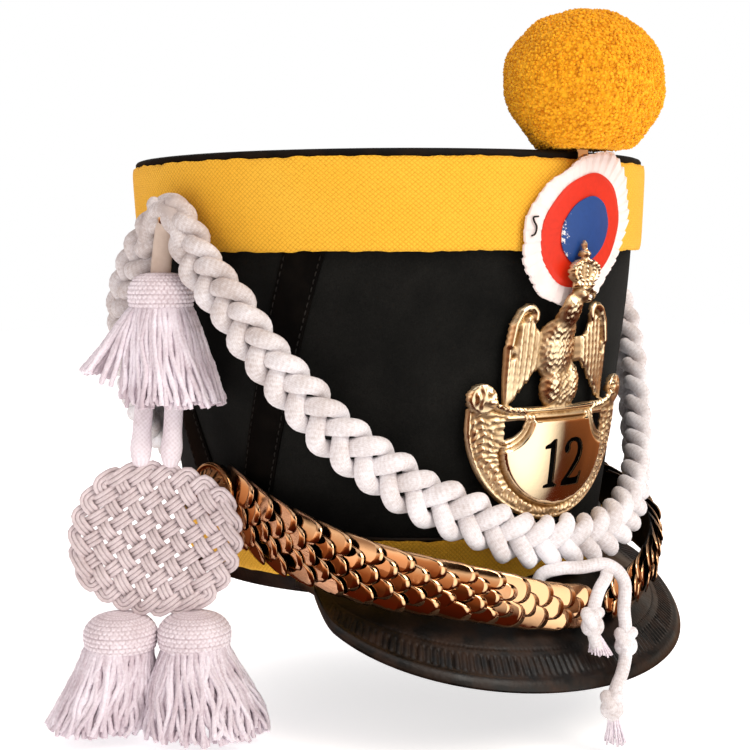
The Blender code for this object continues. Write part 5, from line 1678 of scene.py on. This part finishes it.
@dataclass
class ChinStrap:
    """Leather strap under overlapping brass scales, with its boss."""

    side: Side
    route: tuple = ((3.0, 127.0, -3.0), (15.0, 126.5, 1.0), (30.0, 126.0, 9.0), (45.0, 122.0, 15.5),
                    (60.0, 114.0, 23.0), (75.0, 105.5, 30.8), (92.0, 101.4, 41.0))
    half_width: Pair = mm(15.8, 8)
    tilt: float = 0.16
    bare: float = 9 * MM
    rows: int = 28
    fewer_from: int = 20
    lifted: int = 9
    stud: Pair = mm(103.6, 42)
    boss_radius: float = 14.0 * MM

    def frames(self) -> tuple[Array, Array, Array, Array]:
        """Middle, across, along and outward directions at each millimetre from the boss on."""
        middle = spline(polar(np.array(self.route)[::-1] * MIRRORED), 1 * MM)
        along = tangents(middle)
        lean = self.tilt * (1 - np.linspace(0, 1, len(middle)))
        outward = square_to(along, unit(middle * LEVEL) - lean[:, None] * np.array([0, 0, 1.0]))
        if self.side is Side.LEFT:
            middle, along, outward = middle * MIRRORED, along * MIRRORED, outward * MIRRORED
        return middle, np.cross(along, outward), along, outward

    def build(self) -> None:
        """Backing, scales and boss."""
        middle, across, along, outward = self.frames()
        share = np.linspace(0, 1, len(middle))
        half = between(self.half_width, share)
        u = np.array([1.0, 0.99, 0.5, 0, -0.5, -0.99, -1.0, -0.99, -0.5, 0, 0.5, 0.99])
        v = np.array([-0.7, 0.1, 0.25, 0.3, 0.25, 0.1, -0.7, -1.4, -1.4, -1.4, -1.4, -1.4]) * MM
        ring = (middle[:, None] + across[:, None] * (0.9 * half[:, None] * u)[..., None]
                + outward[:, None] * v[None, :, None])
        strap = grid_patch(ring[:, ::-1], chart(np.linspace(0, 0.05, 13), share * 0.2), wrap_columns=True)
        piece(f"chin_strap_{self.side.label}", [cap_ends(strap, len(middle), len(u))], WAXED, sharp=50)
        self.scales(middle, across, along, outward, half)
        self.boss()

    def scales(self, middle: Array, across: Array, along: Array, outward: Array, half: Array) -> None:
        """Rows of three and two scales by turns, later of two and one, each row over the one in front of it.

        Args:
            middle: Middle of the strap, one row for each millimetre.
            across: Directions across it.
            along: Directions along it.
            outward: Directions out of its face.
            half: Half of its width.
        """
        chance = np.random.default_rng(3)
        places, turns, sizes = [], [], []
        start, end = self.bare / MM, len(middle) - 4
        pitches = np.linspace(1.12, 0.86, self.rows)
        stops = start + (end - start) * np.concatenate([[0], np.cumsum(pitches)[:-1]]) / pitches.sum()
        for row, stop in enumerate(stops):
            k = int(stop)
            pitch = (end - start) * pitches[row] / pitches.sum()
            most = 3 if row < self.fewer_from else 2
            count = most - row % 2
            for lobe in np.arange(count) - (count - 1) / 2:
                share = 2 * lobe / most
                lift = 0.05 * (row < self.lifted) + chance.uniform(-0.05, 0.05)
                roll = 0.36 * share + chance.uniform(-0.12, 0.12)
                out = unit(outward[k] + roll * across[k] - (0.1 + lift) * along[k])
                ahead = square_to(out, along[k])
                places.append(middle[k] + across[k] * share * half[k] + outward[k] * (0.95 - 0.7 * share ** 2) * MM)
                turns.append(np.stack([np.cross(ahead, out), ahead, out], axis=-1))
                sizes.append([half[k] / MM / most * 1.22, 2 * pitch, 1.0 if most > 2 else 0.8])
        base = marks(f"chin_scales_brass_{self.side.label}", places, np.array(turns), sizes)
        grow(base, repeat_tree(), {"Pattern": scale_pattern(), "Pattern size": 1.0}, ROLLED,
             [f"chin_scales_{self.side.label}"])

    def flutes(self, angle: Array, radius: Array) -> tuple[Array, Array]:
        """Rays pressed into the boss between its middle and its edge."""
        share = radius / self.boss_radius
        zone = ramp(share, 0.42, 0.52) * ramp(share, 0.86, 0.78)
        return 0 * radius, 0.8 * MM * zone * (np.abs(np.sin(8 * angle)) - 0.5)

    def boss(self) -> None:
        """The round boss on its stud."""
        r = self.boss_radius / MM
        rows = [(0.5, 0), (0.33 * r, 0), (0.33 * r, 2.6), (0.97 * r, 2.6), (r, 2.9), (r, 4.0), (0.97 * r, 4.6),
                (0.91 * r, 4.9), (0.86 * r, 4.5), (0.82 * r, 4.4), (0.78 * r, 4.9), (0.72 * r, 5.4), (0.6 * r, 6.3),
                (0.5 * r, 7.0), (0.45 * r, 6.8), (0.4 * r, 7.1), (0.35 * r, 7.9), (0.28 * r, 8.8), (0.19 * r, 9.3),
                (0.1 * r, 9.55), (0.4, 9.6)]
        way = self.side.value
        patch = turned(rows, [way * self.stud[0], 0, self.stud[1]], [way, 0, 0], 120, self.flutes)
        piece(f"chin_boss_{self.side.label}", [patch], BRONZED, [f"chin_rosette_{self.side.label}"], sharp=40)


@cache
def scale_pattern() -> Thing:
    """Pattern of one brass scale: unit half width, unit pitch, rounded tip towards +Y, in millimetres."""
    columns, rows = 11, 8
    u = np.linspace(-1, 1, columns)[None, :]
    t = np.linspace(0, 1, rows)[:, None]
    tip = 0.75 + 0.6 * np.sqrt(np.clip(1 - np.abs(u) ** 2.4, 0, 1))
    y = -0.35 + t * (tip + 0.35)
    rim = ramp(t, 0.84, 0.94) * (1 - ramp(t, 0.97, 1.0))
    z = 0.75 * half_round(0.95 * u) + 0.3 * rim - 0.35 * ramp(t, 0.96, 1.0) + 0 * t
    face = np.stack([u + 0 * t, y, z], axis=-1)
    under = face[::-1] - np.array([0, 0.02, 0.55])
    points = np.concatenate([face, under]) * MM
    patch = grid_patch(points[:, ::-1], np.zeros((2 * rows + 1, columns, 2)), wrap_rows=True)
    cap_sides(patch, 2 * rows, columns)
    # painted shade: each scale is dark at its base, where the next scale lies over it, towards its sides and on its
    # underside; painted highlight: brighter along the rim near its tip
    shade = ramp(t, 0.12, 0.4) * (0.86 + 0.3 * rim) * (1 - 0.45 * np.abs(u) ** 5)
    patch.relief = np.concatenate([shade, 0 * shade])[:, ::-1].ravel()
    return piece("pattern_scale", [flipped(patch)], ROLLED, sharp=60, ride=False)


# ---- cordon


@dataclass
class Cordon:
    """Three-strand plait that hangs from the hooks, in front and behind."""

    route: tuple = ((0.0, 117.7, 23.2), (11.7, 117.9, 25.1), (21.3, 118.0, 31.2), (29.8, 117.7, 39.3),
                    (37.9, 118.0, 48.1), (45.8, 119.1, 58.7), (53.4, 121.5, 72.3), (61.0, 125.1, 89.4),
                    (67.5, 128.4, 107.6), (73.2, 130.2, 124.4), (79.4, 129.8, 138.9), (84.0, 128.8, 152.1),
                    (88.2, 128.2, 166.4))
    rear_drop: float = 0.86
    period: float = 37 * MM
    sway: Pair = mm(6.7, 7.9)
    swap: float = 3.4 * MM
    strand: Pair = mm(3.85, 3.25)
    hook_z: float = 160.8 * MM
    hook_tip_x: float = 133 * MM

    def build(self) -> None:
        """Both festoons, the loops over the hooks, and the hooks."""
        half = np.array(self.route)
        right = half[::-1] * MIRRORED
        rear = right + np.array([180.0, 0, 0])
        rear[:, 2] = between((half[-1, 2], rear[:, 2]), self.rear_drop)
        other = rear[-2::-1] * MIRRORED + np.array([360.0, 0, 0])
        piece("cordon_front_plait", self.plait(polar([*right, *half[1:]])), JACKET, ["cordon_front"], sharp=80)
        piece("cordon_rear_plait", self.plait(polar([*rear, *other])), JACKET, ["cordon_rear"], sharp=80)
        for side in Side:
            piece(f"cordon_loops_{side.label}", self.loops(side.value), JACKET, sharp=80)
            self.hook(side)

    def plait(self, control: Array) -> list[Patch]:
        """The three strands along a route."""
        middle = spline(control, 1.2 * MM)
        along = tangents(middle)
        outward = square_to(along, middle * LEVEL)
        across = np.cross(along, outward)
        walked = walk(middle)
        total = walked[-1]
        near = np.minimum(walked, total - walked)
        narrow = 0.42 + 0.58 * ramp(near, 0, 26 * MM) ** 0.8
        sway = narrow * between(self.sway, ramp(near, 70 * MM, 120 * MM))
        strands = []
        for k in range(3):
            phase = TURN * (walked - total / 2) / self.period + TURN * k / 3
            wander = 1 + 0.07 * np.sin(walked / (31 * MM) + 2 * k) + 0.04 * np.sin(walked / (9 * MM) + 4 * k)
            path = (middle + across * (sway * wander * np.sin(phase))[:, None]
                    + outward * (self.swap * np.sin(2 * phase))[:, None])
            pinch = 1 + 0.05 * np.sin(2 * phase) + 0.04 * np.sin(walked / (7 * MM) + k)
            strands.append(tube(path, self.strand[0] * pinch * (0.72 + 0.28 * narrow), across,
                                self.strand[1] / self.strand[0], 14))
        return strands

    def loops(self, way: int) -> list[Patch]:
        """Two short loops of the cord over the peg on one side."""
        made = []
        for out, drop, spread in ((-1.2, 0.0, 7.2), (2.6, -3.2, 6.0)):
            spots = [(way * (90 + spread * np.sign(t) * abs(t) ** 0.9), 128.3 + out + 0.6 * abs(t),
                      168.2 + drop - 17 * abs(t) ** 2.2) for t in np.linspace(-1, 1, 9)]
            path = spline(polar(spots), 1.2 * MM)
            made.append(tube(path, 4.0 * MM, path * LEVEL, 0.95, 14))
        return made

    def hook(self, side: Side) -> None:
        """A plate against the band and its peg."""
        plate_x = float(FORM.section(self.hook_z)[0]) + 4.7 * MM
        reach = (self.hook_tip_x - plate_x) / MM
        rows = [(0.3, 0), (5, 0), (5, 0.6), (4.6, 0.9), (2.0, 1.0), (1.5, 1.5), (1.4, reach - 2.2), (2.1, reach - 1.6),
                (2.2, reach - 0.7), (1.4, reach - 0.1), (0.2, reach)]
        patch = turned(rows, [side.value * plate_x, 0, self.hook_z], [side.value, 0, 0], 24)
        patch.relief = np.full(len(patch.points), 0.8)
        piece(f"cordon_peg_{side.label}", [patch], STAMPED, [f"cordon_hook_{side.label}"], sharp=40)


# ---- tassels and mat


@dataclass
class Tassel:
    """Head of basket-woven cord over a skirt of twisted strands.

    Attributes:
        name: Name of the tassel.
        node: The solid that it stands for.
        neck: Its top.
        head: Radius and depth below the neck of the head's outline, in millimetres.
        skirt: The same for the strands, from under the head to the tips.
        shift: How far the foot moves sideways.
        squash: Factors on the width along X and Y.
        strands: Number of strands in the outer layer.
        wave: How far the strands wave about, in millimetres.
        stray: Direction and reach in millimetres of a bundle that was combed aside, or None.
        seed: Seed of its small differences.
    """

    name: str
    node: str
    neck: Sequence[float]
    head: tuple
    skirt: tuple
    shift: Pair = (0.0, 0.0)
    squash: Pair = (1.0, 1.0)
    strands: int = 78
    wave: float = 0.45
    stray: Spot | None = None
    seed: int = 1
    strand_radius: float = 1.25 * MM
    twist_pitch: float = 16 * MM
    lump_mm: float = 2.6

    def lumps(self, angle: Array, radius: Array) -> tuple[Array, Array]:
        """Staggered lumps of the basket weave."""
        count = max(9, round(TURN * max(r for r, _ in self.head) / self.lump_mm))
        row = self.rows_of_head[:, None] / (0.74 * self.lump_mm)
        across = np.abs(np.sin(math.pi * (count * angle / TURN + 0.5 * (np.floor(row) % 2))))
        self.pattern = np.sqrt(across * np.abs(np.sin(math.pi * row)))
        swell = 1.0 * MM * (self.pattern - 0.45) * ramp(radius, 0, 6 * MM)
        return swell, 0 * swell

    def build(self) -> None:
        """Head and strands."""
        outline = spline(np.array([(r, 0, d) for r, d in self.head]), 0.42)
        self.rows_of_head = walk(outline)
        rows = [(max(0.4, r), d) for r, _, d in outline]
        patch = turned(rows, [0, 0, 0], [0, 0, -1], 204, self.lumps)
        # painted shade: the relief is low in the grooves between the lumps, and the cotton finish darkens them there
        patch.relief = np.clip(1.5 * self.pattern, 0, 1).ravel()
        patch.points = patch.points * np.array([*self.squash, 1]) + self.neck
        piece(f"{self.name}_head", [patch], KNIT, [self.node], sharp=80)
        self.hang()

    def strand(self, chance: np.random.Generator, angle: float, inner: float, fray: float) -> tuple[Array, Array]:
        """One strand of the skirt.

        Args:
            chance: Source of its small differences.
            angle: Where it leaves the head.
            inner: Its layer's share of the skirt's radius.
            fray: How much shorter it may be.

        Returns:
            Its path, and its thickness along it as a share of the strand's radius.
        """
        radii, depths = np.array(self.skirt, float).T
        last = depths[-1]
        depth = np.arange(depths[0] - 1.5, last * chance.uniform(0.95, 1.0) - chance.uniform(0, fray), 1.6)
        share = ramp(depth, depths[0], last)
        turn, pull = chance.uniform(0, TURN), chance.uniform(-0.06, 0.06)
        rates, wave = chance.uniform(5, 11, 2), self.wave * chance.uniform(0.6, 1.8)
        radius = np.interp(depth, depths, radii) * inner * (1 + pull * share)
        radius = radius + wave * np.sin(share * rates[0] + turn) * share
        tip = ramp(share, 0.86, 1.0)
        bend = angle + pull * share ** 2 + wave * 0.09 * np.sin(share * rates[1] + turn) + 0.05 * chance.normal() * tip
        radius = radius + 0.8 * chance.uniform(-1, 1) * tip
        centre = np.array(self.shift) * (depth[:, None] / last) ** 2
        round_it = np.stack([np.cos(bend), np.sin(bend)], axis=1) * self.squash
        path = np.column_stack([radius[:, None] * MM * round_it + centre, -depth * MM]) + self.neck
        if self.stray is not None:
            x, y, reach = self.stray
            aside = ramp(np.cos(angle) * x + np.sin(angle) * y, 0.76, 0.9) * (inner > 0.7)
            path[:, :2] += aside * np.array([x, y]) * reach * MM * share[:, None] ** 0.9
            path[:, 2] += aside * 14 * MM * share ** 1.6
        thick = chance.uniform(0.92, 1.1) * (1 + 0.08 * np.sin(np.arange(len(path)) * 1.9 + turn))
        thick[-1] *= 0.8
        return path, thick

    def hang(self) -> None:
        """Strands in three layers, the inner ones darker as painted shade."""
        chance = np.random.default_rng(self.seed)
        made = []
        for layer, (part, inner) in enumerate(((1.0, 1.0), (0.85, 0.93), (0.6, 0.84))):
            count = int(part * self.strands)
            for k in range(count):
                angle = TURN * (k + chance.uniform(-0.3, 0.3)) / count + 0.3 * layer
                # the last value is the strand's tone: random, lowered for the inner layers as painted shade
                made.append((*self.strand(chance, angle, inner, 0.0 if layer else 2.5),
                             chance.uniform(0.45, 1.1) - 0.3 * layer))
        base = lines(f"{self.name}_strands", *zip(*made))
        sizes = {"Cord radius": self.strand_radius, "Cord sides": 7, "Flatness": 0.9, "Twist pitch": self.twist_pitch}
        grow(base, strand_tree(), sizes, STRAND)


@dataclass
class Racquet:
    """Round mat plaited from one long cord laid three-fold, its loops showing round the rim."""

    centre: Spot = mm(-136.6, 1.6, 25.8)
    heading: float = 43.4
    half_width: float = 36.4 * MM
    half_height: float = 32.6 * MM
    turns: tuple[int, int] = (6, 7)
    slant: float = -12.0
    swap: float = 2.3 * MM
    plies: int = 3
    ply: float = 0.98 * MM
    ply_gap: float = 1.84 * MM
    softness: float = 2.9 * MM
    step: float = 0.55 * MM
    samples: int = 2880

    def axes(self) -> tuple[Array, Array]:
        """Directions across the mat and out of its face."""
        a = math.radians(self.heading)
        return np.array([math.cos(a), -math.sin(a), 0.0]), np.array([-math.sin(a), -math.cos(a), 0.0])

    def centre_line(self) -> tuple[Array, Array]:
        """The cord's way over the mat, as across, up and out of it, and its directions along the mat."""
        many, few = self.turns
        t = np.arange(self.samples) / self.samples
        u = 2 * np.abs(2 * ((many * t) % 1.0) - 1) - 1
        v = 2 * np.abs(2 * ((few * t + 0.25 / many) % 1.0) - 1) - 1
        way = np.where((np.roll(u, -1) - u) * (np.roll(v, -1) - v) < 0, -1, 1)
        fade = np.clip(np.minimum(few * (1 - np.abs(u)), many * (1 - np.abs(v))), 0, 1) ** 0.7
        out = way * np.cos(TURN * few * (u + 1) / 2) * fade * self.swap
        x, y = u * np.sqrt(1 - v ** 2 / 2), v * np.sqrt(1 - u ** 2 / 2)
        c, s = math.cos(math.radians(self.slant)), math.sin(math.radians(self.slant))
        line = np.stack([self.half_width * (c * x - s * y), self.half_height * (s * x + c * y), out], axis=1)
        line = respace(np.concatenate([line, line[:1]]), self.step)[:-1]
        kernel = blur_weights(self.softness, self.step)
        reach = len(kernel) // 2
        padded = np.pad(line, ((reach, reach), (0, 0)), mode="wrap")
        smooth = np.stack([np.convolve(axis, kernel, mode="valid") for axis in padded.T], axis=1)
        smooth[:, 2] *= 1.5
        smooth = respace(np.concatenate([smooth, smooth[:1]]), 1.4 * MM)[:-1]
        return smooth, tangents(smooth * LEVEL, closed=True)

    def build(self) -> None:
        """The plies side by side."""
        line, along = self.centre_line()
        sideways, look = self.axes()
        beside = np.stack([-along[:, 1], along[:, 0]], axis=1)
        plies = []
        for k in np.arange(self.plies) - (self.plies - 1) / 2:
            flat = line[:, :2] + beside * k * self.ply_gap
            out = line[:, 2] + 0.12 * MM * np.sin(np.arange(len(line)) * 0.3 + 2 * k)
            path = (np.array(self.centre) + flat[:, :1] * sideways + flat[:, 1:] * np.array([0, 0, 1.0])
                    + out[:, None] * look)
            plies.append(tube(path, self.ply, look, sides=7, closed=True))
        piece("plaited_mat", plies, TWIST, ["racquet"], sharp=80)


@dataclass
class TasselGroup:
    """Everything that hangs from the right hook."""

    upper_neck: Spot = mm(-131, 2.5, 138.6)
    cord_radius: float = 4 * MM
    front_cord: tuple = ((-130.3, -2.2, 121.9), (-130.0, -4.4, 92.0), (-131.2, -4.6, 72.0), (-131.9, -3.9, 60.6))
    rear_cord: tuple = ((-132.4, 6.4, 121.3), (-136.6, 6.2, 92.0), (-139.4, 6.0, 72.0), (-140.6, 5.6, 60.6))

    def cords(self) -> None:
        """The two cords that carry the mat; each is a free cord from the tassel to the mat."""
        for name, route, node in (("mat_cord_front", self.front_cord, "racquet_cord_front"),
                                  ("mat_cord_rear", self.rear_cord, "racquet_cord_rear")):
            path = spline(np.array(route) * MM, 1.2 * MM)
            made = piece(name, [tube(path, self.cord_radius * bulb(path), sides=16)], KNIT, [node], sharp=80)

    def build(self) -> None:
        """Loop, upper tassel, mat and lower tassels."""
        loop = spline(np.array([(-129.6, 0.0, 159.0), (-130.4, 1.2, 149.0), (-131.0, 2.5, 138.4)]) * MM, 1.2 * MM)
        strap = tube(loop, 4.4 * MM, np.array([0.62, -0.78, 0.0]), 0.6, 16)
        piece("tassel_strap", [strap], STRAP, ["tassel_loop"], sharp=80)
        Tassel("upper_tassel", "tassel_upper", self.upper_neck,
               ((0, 0), (5.5, 0.2), (9.8, 1.4), (13.2, 4.6), (14.4, 9.0), (14.0, 13.2), (12.4, 15.8), (9.0, 16.6)),
               ((12.2, 14.0), (14.0, 17.5), (17.4, 28), (20.2, 40), (22.6, 50), (24.2, 57)),
               shift=mm(3, -2.8), squash=(0.9, 1.05), strands=82, stray=(-0.73, 0.69, 15.0), seed=11).build()
        mat = Racquet()
        mat.build()
        sideways, look = mat.axes()
        for name, across, drop, spread, aside, ahead, seed in (
                ("rear", -15.6, 5.0, 1.0, -10.6, -2.5, 21), ("front", 15.9, 4.8, 1.2, 5.6, 6.0, 31)):
            neck = np.array(mat.centre) + sideways * across * MM
            neck[2] = -drop * MM
            foot = (sideways * aside + look * ahead) * MM
            Tassel(f"{name}_lower_tassel", f"tassel_lower_{name}", neck,
                   ((0, 0), (5, 0.8), (11.2, 3.0), (15, 7.6), (15.2, 13), (13.8, 16.4), (9.5, 17.4)),
                   ((13.2, 14.5), (14.4, 18), (18 * spread, 33), (20.6 * spread, 43), (22.4 * spread, 51.5)),
                   shift=(foot[0], foot[1]), strands=80, wave=0.7, seed=seed).build()


def bulb(path: Array) -> Array:
    """Factor on a cord's radius: it swells a little where it goes into the mat."""
    return 1 + 0.16 * bell(np.linspace(0, 1, len(path)) - 0.93, 0.07)


# ---- laces


@dataclass
class Laces:
    """White laces that tie the straps together in front, knotted, with frayed ends."""

    radius: float = 2.75 * MM
    long_lace: tuple = (
        (-29.3, -117.6, 3.0), (-26.6, -118.4, 11.8), (-20.6, -123.8, 14.6), (-13.3, -129.0, 14.8),
        (-4.3, -136.0, 15.6), (0.9, -140.5, 8.5), (-1.0, -142.0, -3.0), (-1.7, -143.3, -8.6),
        (-2.1, -144.0, -15.5), (-3.2, -144.6, -22.3), (-7.5, -146.2, -28.0), (-11.6, -146.6, -32.9),
        (-14.5, -146.5, -39.2), (-13.6, -146.5, -45.0))
    short_lace: tuple = (
        (-5.6, -136.6, 12.4), (-6.9, -136.8, 10.2), (-11.0, -137.0, 6.5), (-15.2, -138.0, 1.4), (-17.6, -138.6, -5.3),
        (-16.6, -138.6, -12.0), (-14.6, -138.8, -17.0))
    knots: tuple = (("knot_upper", (-2.1, -144.0, -15.5)), ("knot_lower", (-14.5, -146.5, -39.2)),
                    ("knot_short", (-17.6, -138.6, -5.3)))
    knot_scale: float = 1.42 * MM
    threads: int = 46  # in a tuft
    tufts: tuple = (("tuft_long", ((-13.4, -146.5, -45.0), (-11.8, -146.5, -57.3))),
                    ("tuft_short", ((-16.2, -138.6, -11.4), (-12.4, -138.9, -20.8))))

    def knot(self, node: str, centre: Spot) -> Thing:
        """A pulled-tight overhand knot: three lobes of the lace round its middle."""
        t = np.linspace(0, TURN, 72, endpoint=False)
        ring = np.stack([np.sin(t) + 2 * np.sin(2 * t), np.sin(3 * t) * 1.15, np.cos(t) - 2 * np.cos(2 * t)], axis=1)
        path = ring * self.knot_scale * np.array([0.95, 1.0, 1.08]) + np.array(centre) * MM
        lace = tube(path, 2.5 * MM, np.array([0, 1.0, 0]), sides=12, closed=True)
        return piece(f"lace_{node}", [lace], JACKET, [node], sharp=80)

    def tuft(self, node: str, ends: tuple, seed: int) -> Thing:
        """Unlaid threads that spread from the lace's end."""
        chance = np.random.default_rng(seed)
        start, end = (np.array(p) * MM for p in ends)
        made = []
        for _ in range(self.threads):
            angle, reach = chance.uniform(0, TURN), math.sqrt(chance.uniform(0.02, 1))
            share = np.linspace(0, chance.uniform(0.82, 1.0), 12)[:, None]
            spread = (2.0 + 3.0 * share ** 1.2) * MM * reach
            bow = 0.5 * MM * np.sin(share * chance.uniform(4, 8) + angle)
            aside = np.array([math.cos(angle), math.sin(angle), 0])
            path = between((start, end), share) + spread * aside + bow * share
            made.append((path, np.full(12, chance.uniform(0.36, 0.52)), 1.0))
        sizes = {"Cord radius": 1.2 * MM, "Cord sides": 6, "Flatness": 0.75, "Twist pitch": 4 * MM}
        return grow(lines(f"lace_{node}", *zip(*made)), strand_tree(), sizes, STRAND, [node])

    def build(self) -> None:
        """Both laces with their knots and ends."""
        ends = {node: self.knot(node, centre) for node, centre in self.knots}
        ends |= {node: self.tuft(node, way, 5 + k) for k, (node, way) in enumerate(self.tufts)}
        for name, route, nodes, with_it in (
            ("lace_long", self.long_lace, ("lace_upper", "lace_lower"), ("knot_upper", "knot_lower", "tuft_long")),
            ("lace_short", self.short_lace, ("lace_short",), ("knot_short", "tuft_short")),
        ):
            path = spline(np.array(route) * MM, 1.0 * MM)
            made = piece(f"{name}_cord", [tube(path, self.radius, sides=12)], JACKET, nodes, sharp=80)


# ---- studio


def facing(right: Array, up: Array, spot: Array) -> Matrix:
    """Place and turn of something that looks away from right x up."""
    return Matrix(np.column_stack([right, up, np.cross(right, up), spot]).tolist() + [[0, 0, 0, 1]])


@dataclass
class Studio:
    """Camera at the photograph's viewing angle, soft lights, and a pale floor."""

    camera: Spot = (-0.50562, -0.52423, 0.14807)
    right: Spot = (0.72584, -0.68784, -0.00546)
    up: Spot = (0.06103, 0.05649, 0.99654)
    lens: float = 72.8
    middle: Spot = mm(0, 0, 80)
    floor_z: float = -61.5 * MM
    floor_reach: float = 3.0
    sky: Colour = (0.50, 0.455, 0.46, 1.0)
    lights: tuple = (("key", (0.0, -1.25, 1.1), 0.9, 16.0, "#fff6ec"), ("fill", (-1.2, 0.1, 0.5), 1.0, 1.3, "#ffe6d4"),
                     ("rim", (0.6, 0.9, 0.9), 0.8, 6.0, "#ffffff"))
    room: tuple = ((0.0, "#1c0c06"), (0.24, "#52200f"), (0.33, "#54301c"), (0.45, "#9a603c"), (0.55, "#e0b088"),
                   (0.65, "#fff4e8"), (0.71, "#2a1c14"), (0.82, "#1c1410"), (0.92, "#e8ecf2"), (1.0, "#ffffff"))
    window: Colour = (1.9, 1.85, 1.75, 1.0)

    def place_camera(self) -> None:
        """The camera."""
        data = bpy.data.cameras.new("camera")
        data.lens, data.sensor_width, data.sensor_fit = self.lens, 36.0, "HORIZONTAL"
        data.clip_start, data.clip_end = 0.01, 20.0
        made = place_object("camera", data)
        made.matrix_world = facing(np.array(self.right), np.array(self.up), np.array(self.camera))
        bpy.context.scene.camera = made

    def light(self, name: str, spot: Spot, size: float, watts: float, tint: str) -> None:
        """A square soft light that looks at the hat's middle."""
        data = bpy.data.lights.new(name, "AREA")
        data.size, data.energy, data.color = size, watts, linear(tint)[:3]
        made = place_object(name, data)
        back = unit(np.array(spot) - np.array(self.middle))
        right = unit(np.cross([0, 0, 1.0], back))
        made.matrix_world = facing(right, np.cross(back, right), np.array(spot))

    def air(self) -> None:
        """White to the eye, neutral as light, and a warm room with dark patches for what is polished."""
        world = bpy.data.worlds.new("studio_air")
        bpy.context.scene.world = world
        world.use_nodes = True
        tree = world.node_tree
        tree.nodes.clear()
        add = partial(wire, tree)
        way = add("TexCoord").outputs["Generated"]
        height = add("SeparateXYZ", {0: way}).outputs[2]
        patches = add("TexNoise", {"Vector": way, "Scale": 1.6, "Detail": 2.0})
        level = add("Math", {0: patches, 1: 0.5, 2: height}, operation="MULTIPLY_ADD")
        room = add("ValToRGB", {0: add("MapRange", {"Value": level, "From Min": -0.75, "From Max": 1.25})})
        stops = room.color_ramp.elements
        stops[0].position, stops[1].position = 0.0, 1.0
        for spot, _ in self.room[1:-1]:
            stops.new(spot)
        for stop, (_, colour) in zip(stops, self.room):
            stop.color = linear(colour)
        towards = add("VectorMath", {0: way, 1: (0.1, -0.99, -0.1)}, operation="DOT_PRODUCT").outputs["Value"]
        open_share = add("MapRange", {"Value": towards, "From Min": 0.82, "From Max": 0.96})
        lit = add("Mix", {0: open_share, 6: room.outputs["Color"], 7: self.window}, data_type="RGBA")
        rays = add("LightPath").outputs
        seen = add("Mix", {0: rays["Is Glossy Ray"], 6: self.sky, 7: lit}, data_type="RGBA")
        white = add("Mix", {0: rays["Is Camera Ray"], 6: seen, 7: "#ffffff"}, data_type="RGBA")
        add("OutputWorld", {"Surface": add("Background", {"Color": white, "Strength": 1.0})})

    def floor(self) -> None:
        """A pale floor just under the lowest tassel."""
        mesh = bpy.data.meshes.new("pale_floor")
        corners = [(x * self.floor_reach, y * self.floor_reach, self.floor_z) for x, y in product((-1, 1), (-1, 1))]
        mesh.from_pydata(corners, [], [(0, 2, 3, 1)])
        mesh.materials.append(MattPaint("distempered board", "felt").material())
        made = place_object("pale_floor", mesh)
        made.visible_glossy = False

    def build(self) -> None:
        """Everything that isn't the hat."""
        bpy.context.scene.view_settings.view_transform = "Standard"
        self.place_camera()
        self.air()
        self.floor()
        for sizes in self.lights:
            self.light(*sizes)


# ---- the whole


def main() -> None:
    """Build the hat and what it stands in."""
    logging.basicConfig(level=logging.INFO, format="%(name)s: %(message)s")
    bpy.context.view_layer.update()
    Studio().build()
    Laces().build()
    group = TasselGroup()
    group.cords()
    group.build()
    Cordon().build()
    crown = Crown()
    crown.felt()
    crown.top()
    for band in BANDS:
        band.build()
    FootBand().build()
    for side in Side:
        SideChevron(side).build()
        ChinStrap(side).build()
    Visor().build()
    Pompom().build()
    Cockade().build()
    EaglePlate().build()
    for pattern in (stitch(), scale_pattern()):
        bpy.data.objects.remove(pattern, do_unlink=True)


if __name__ == "__main__":
    main()
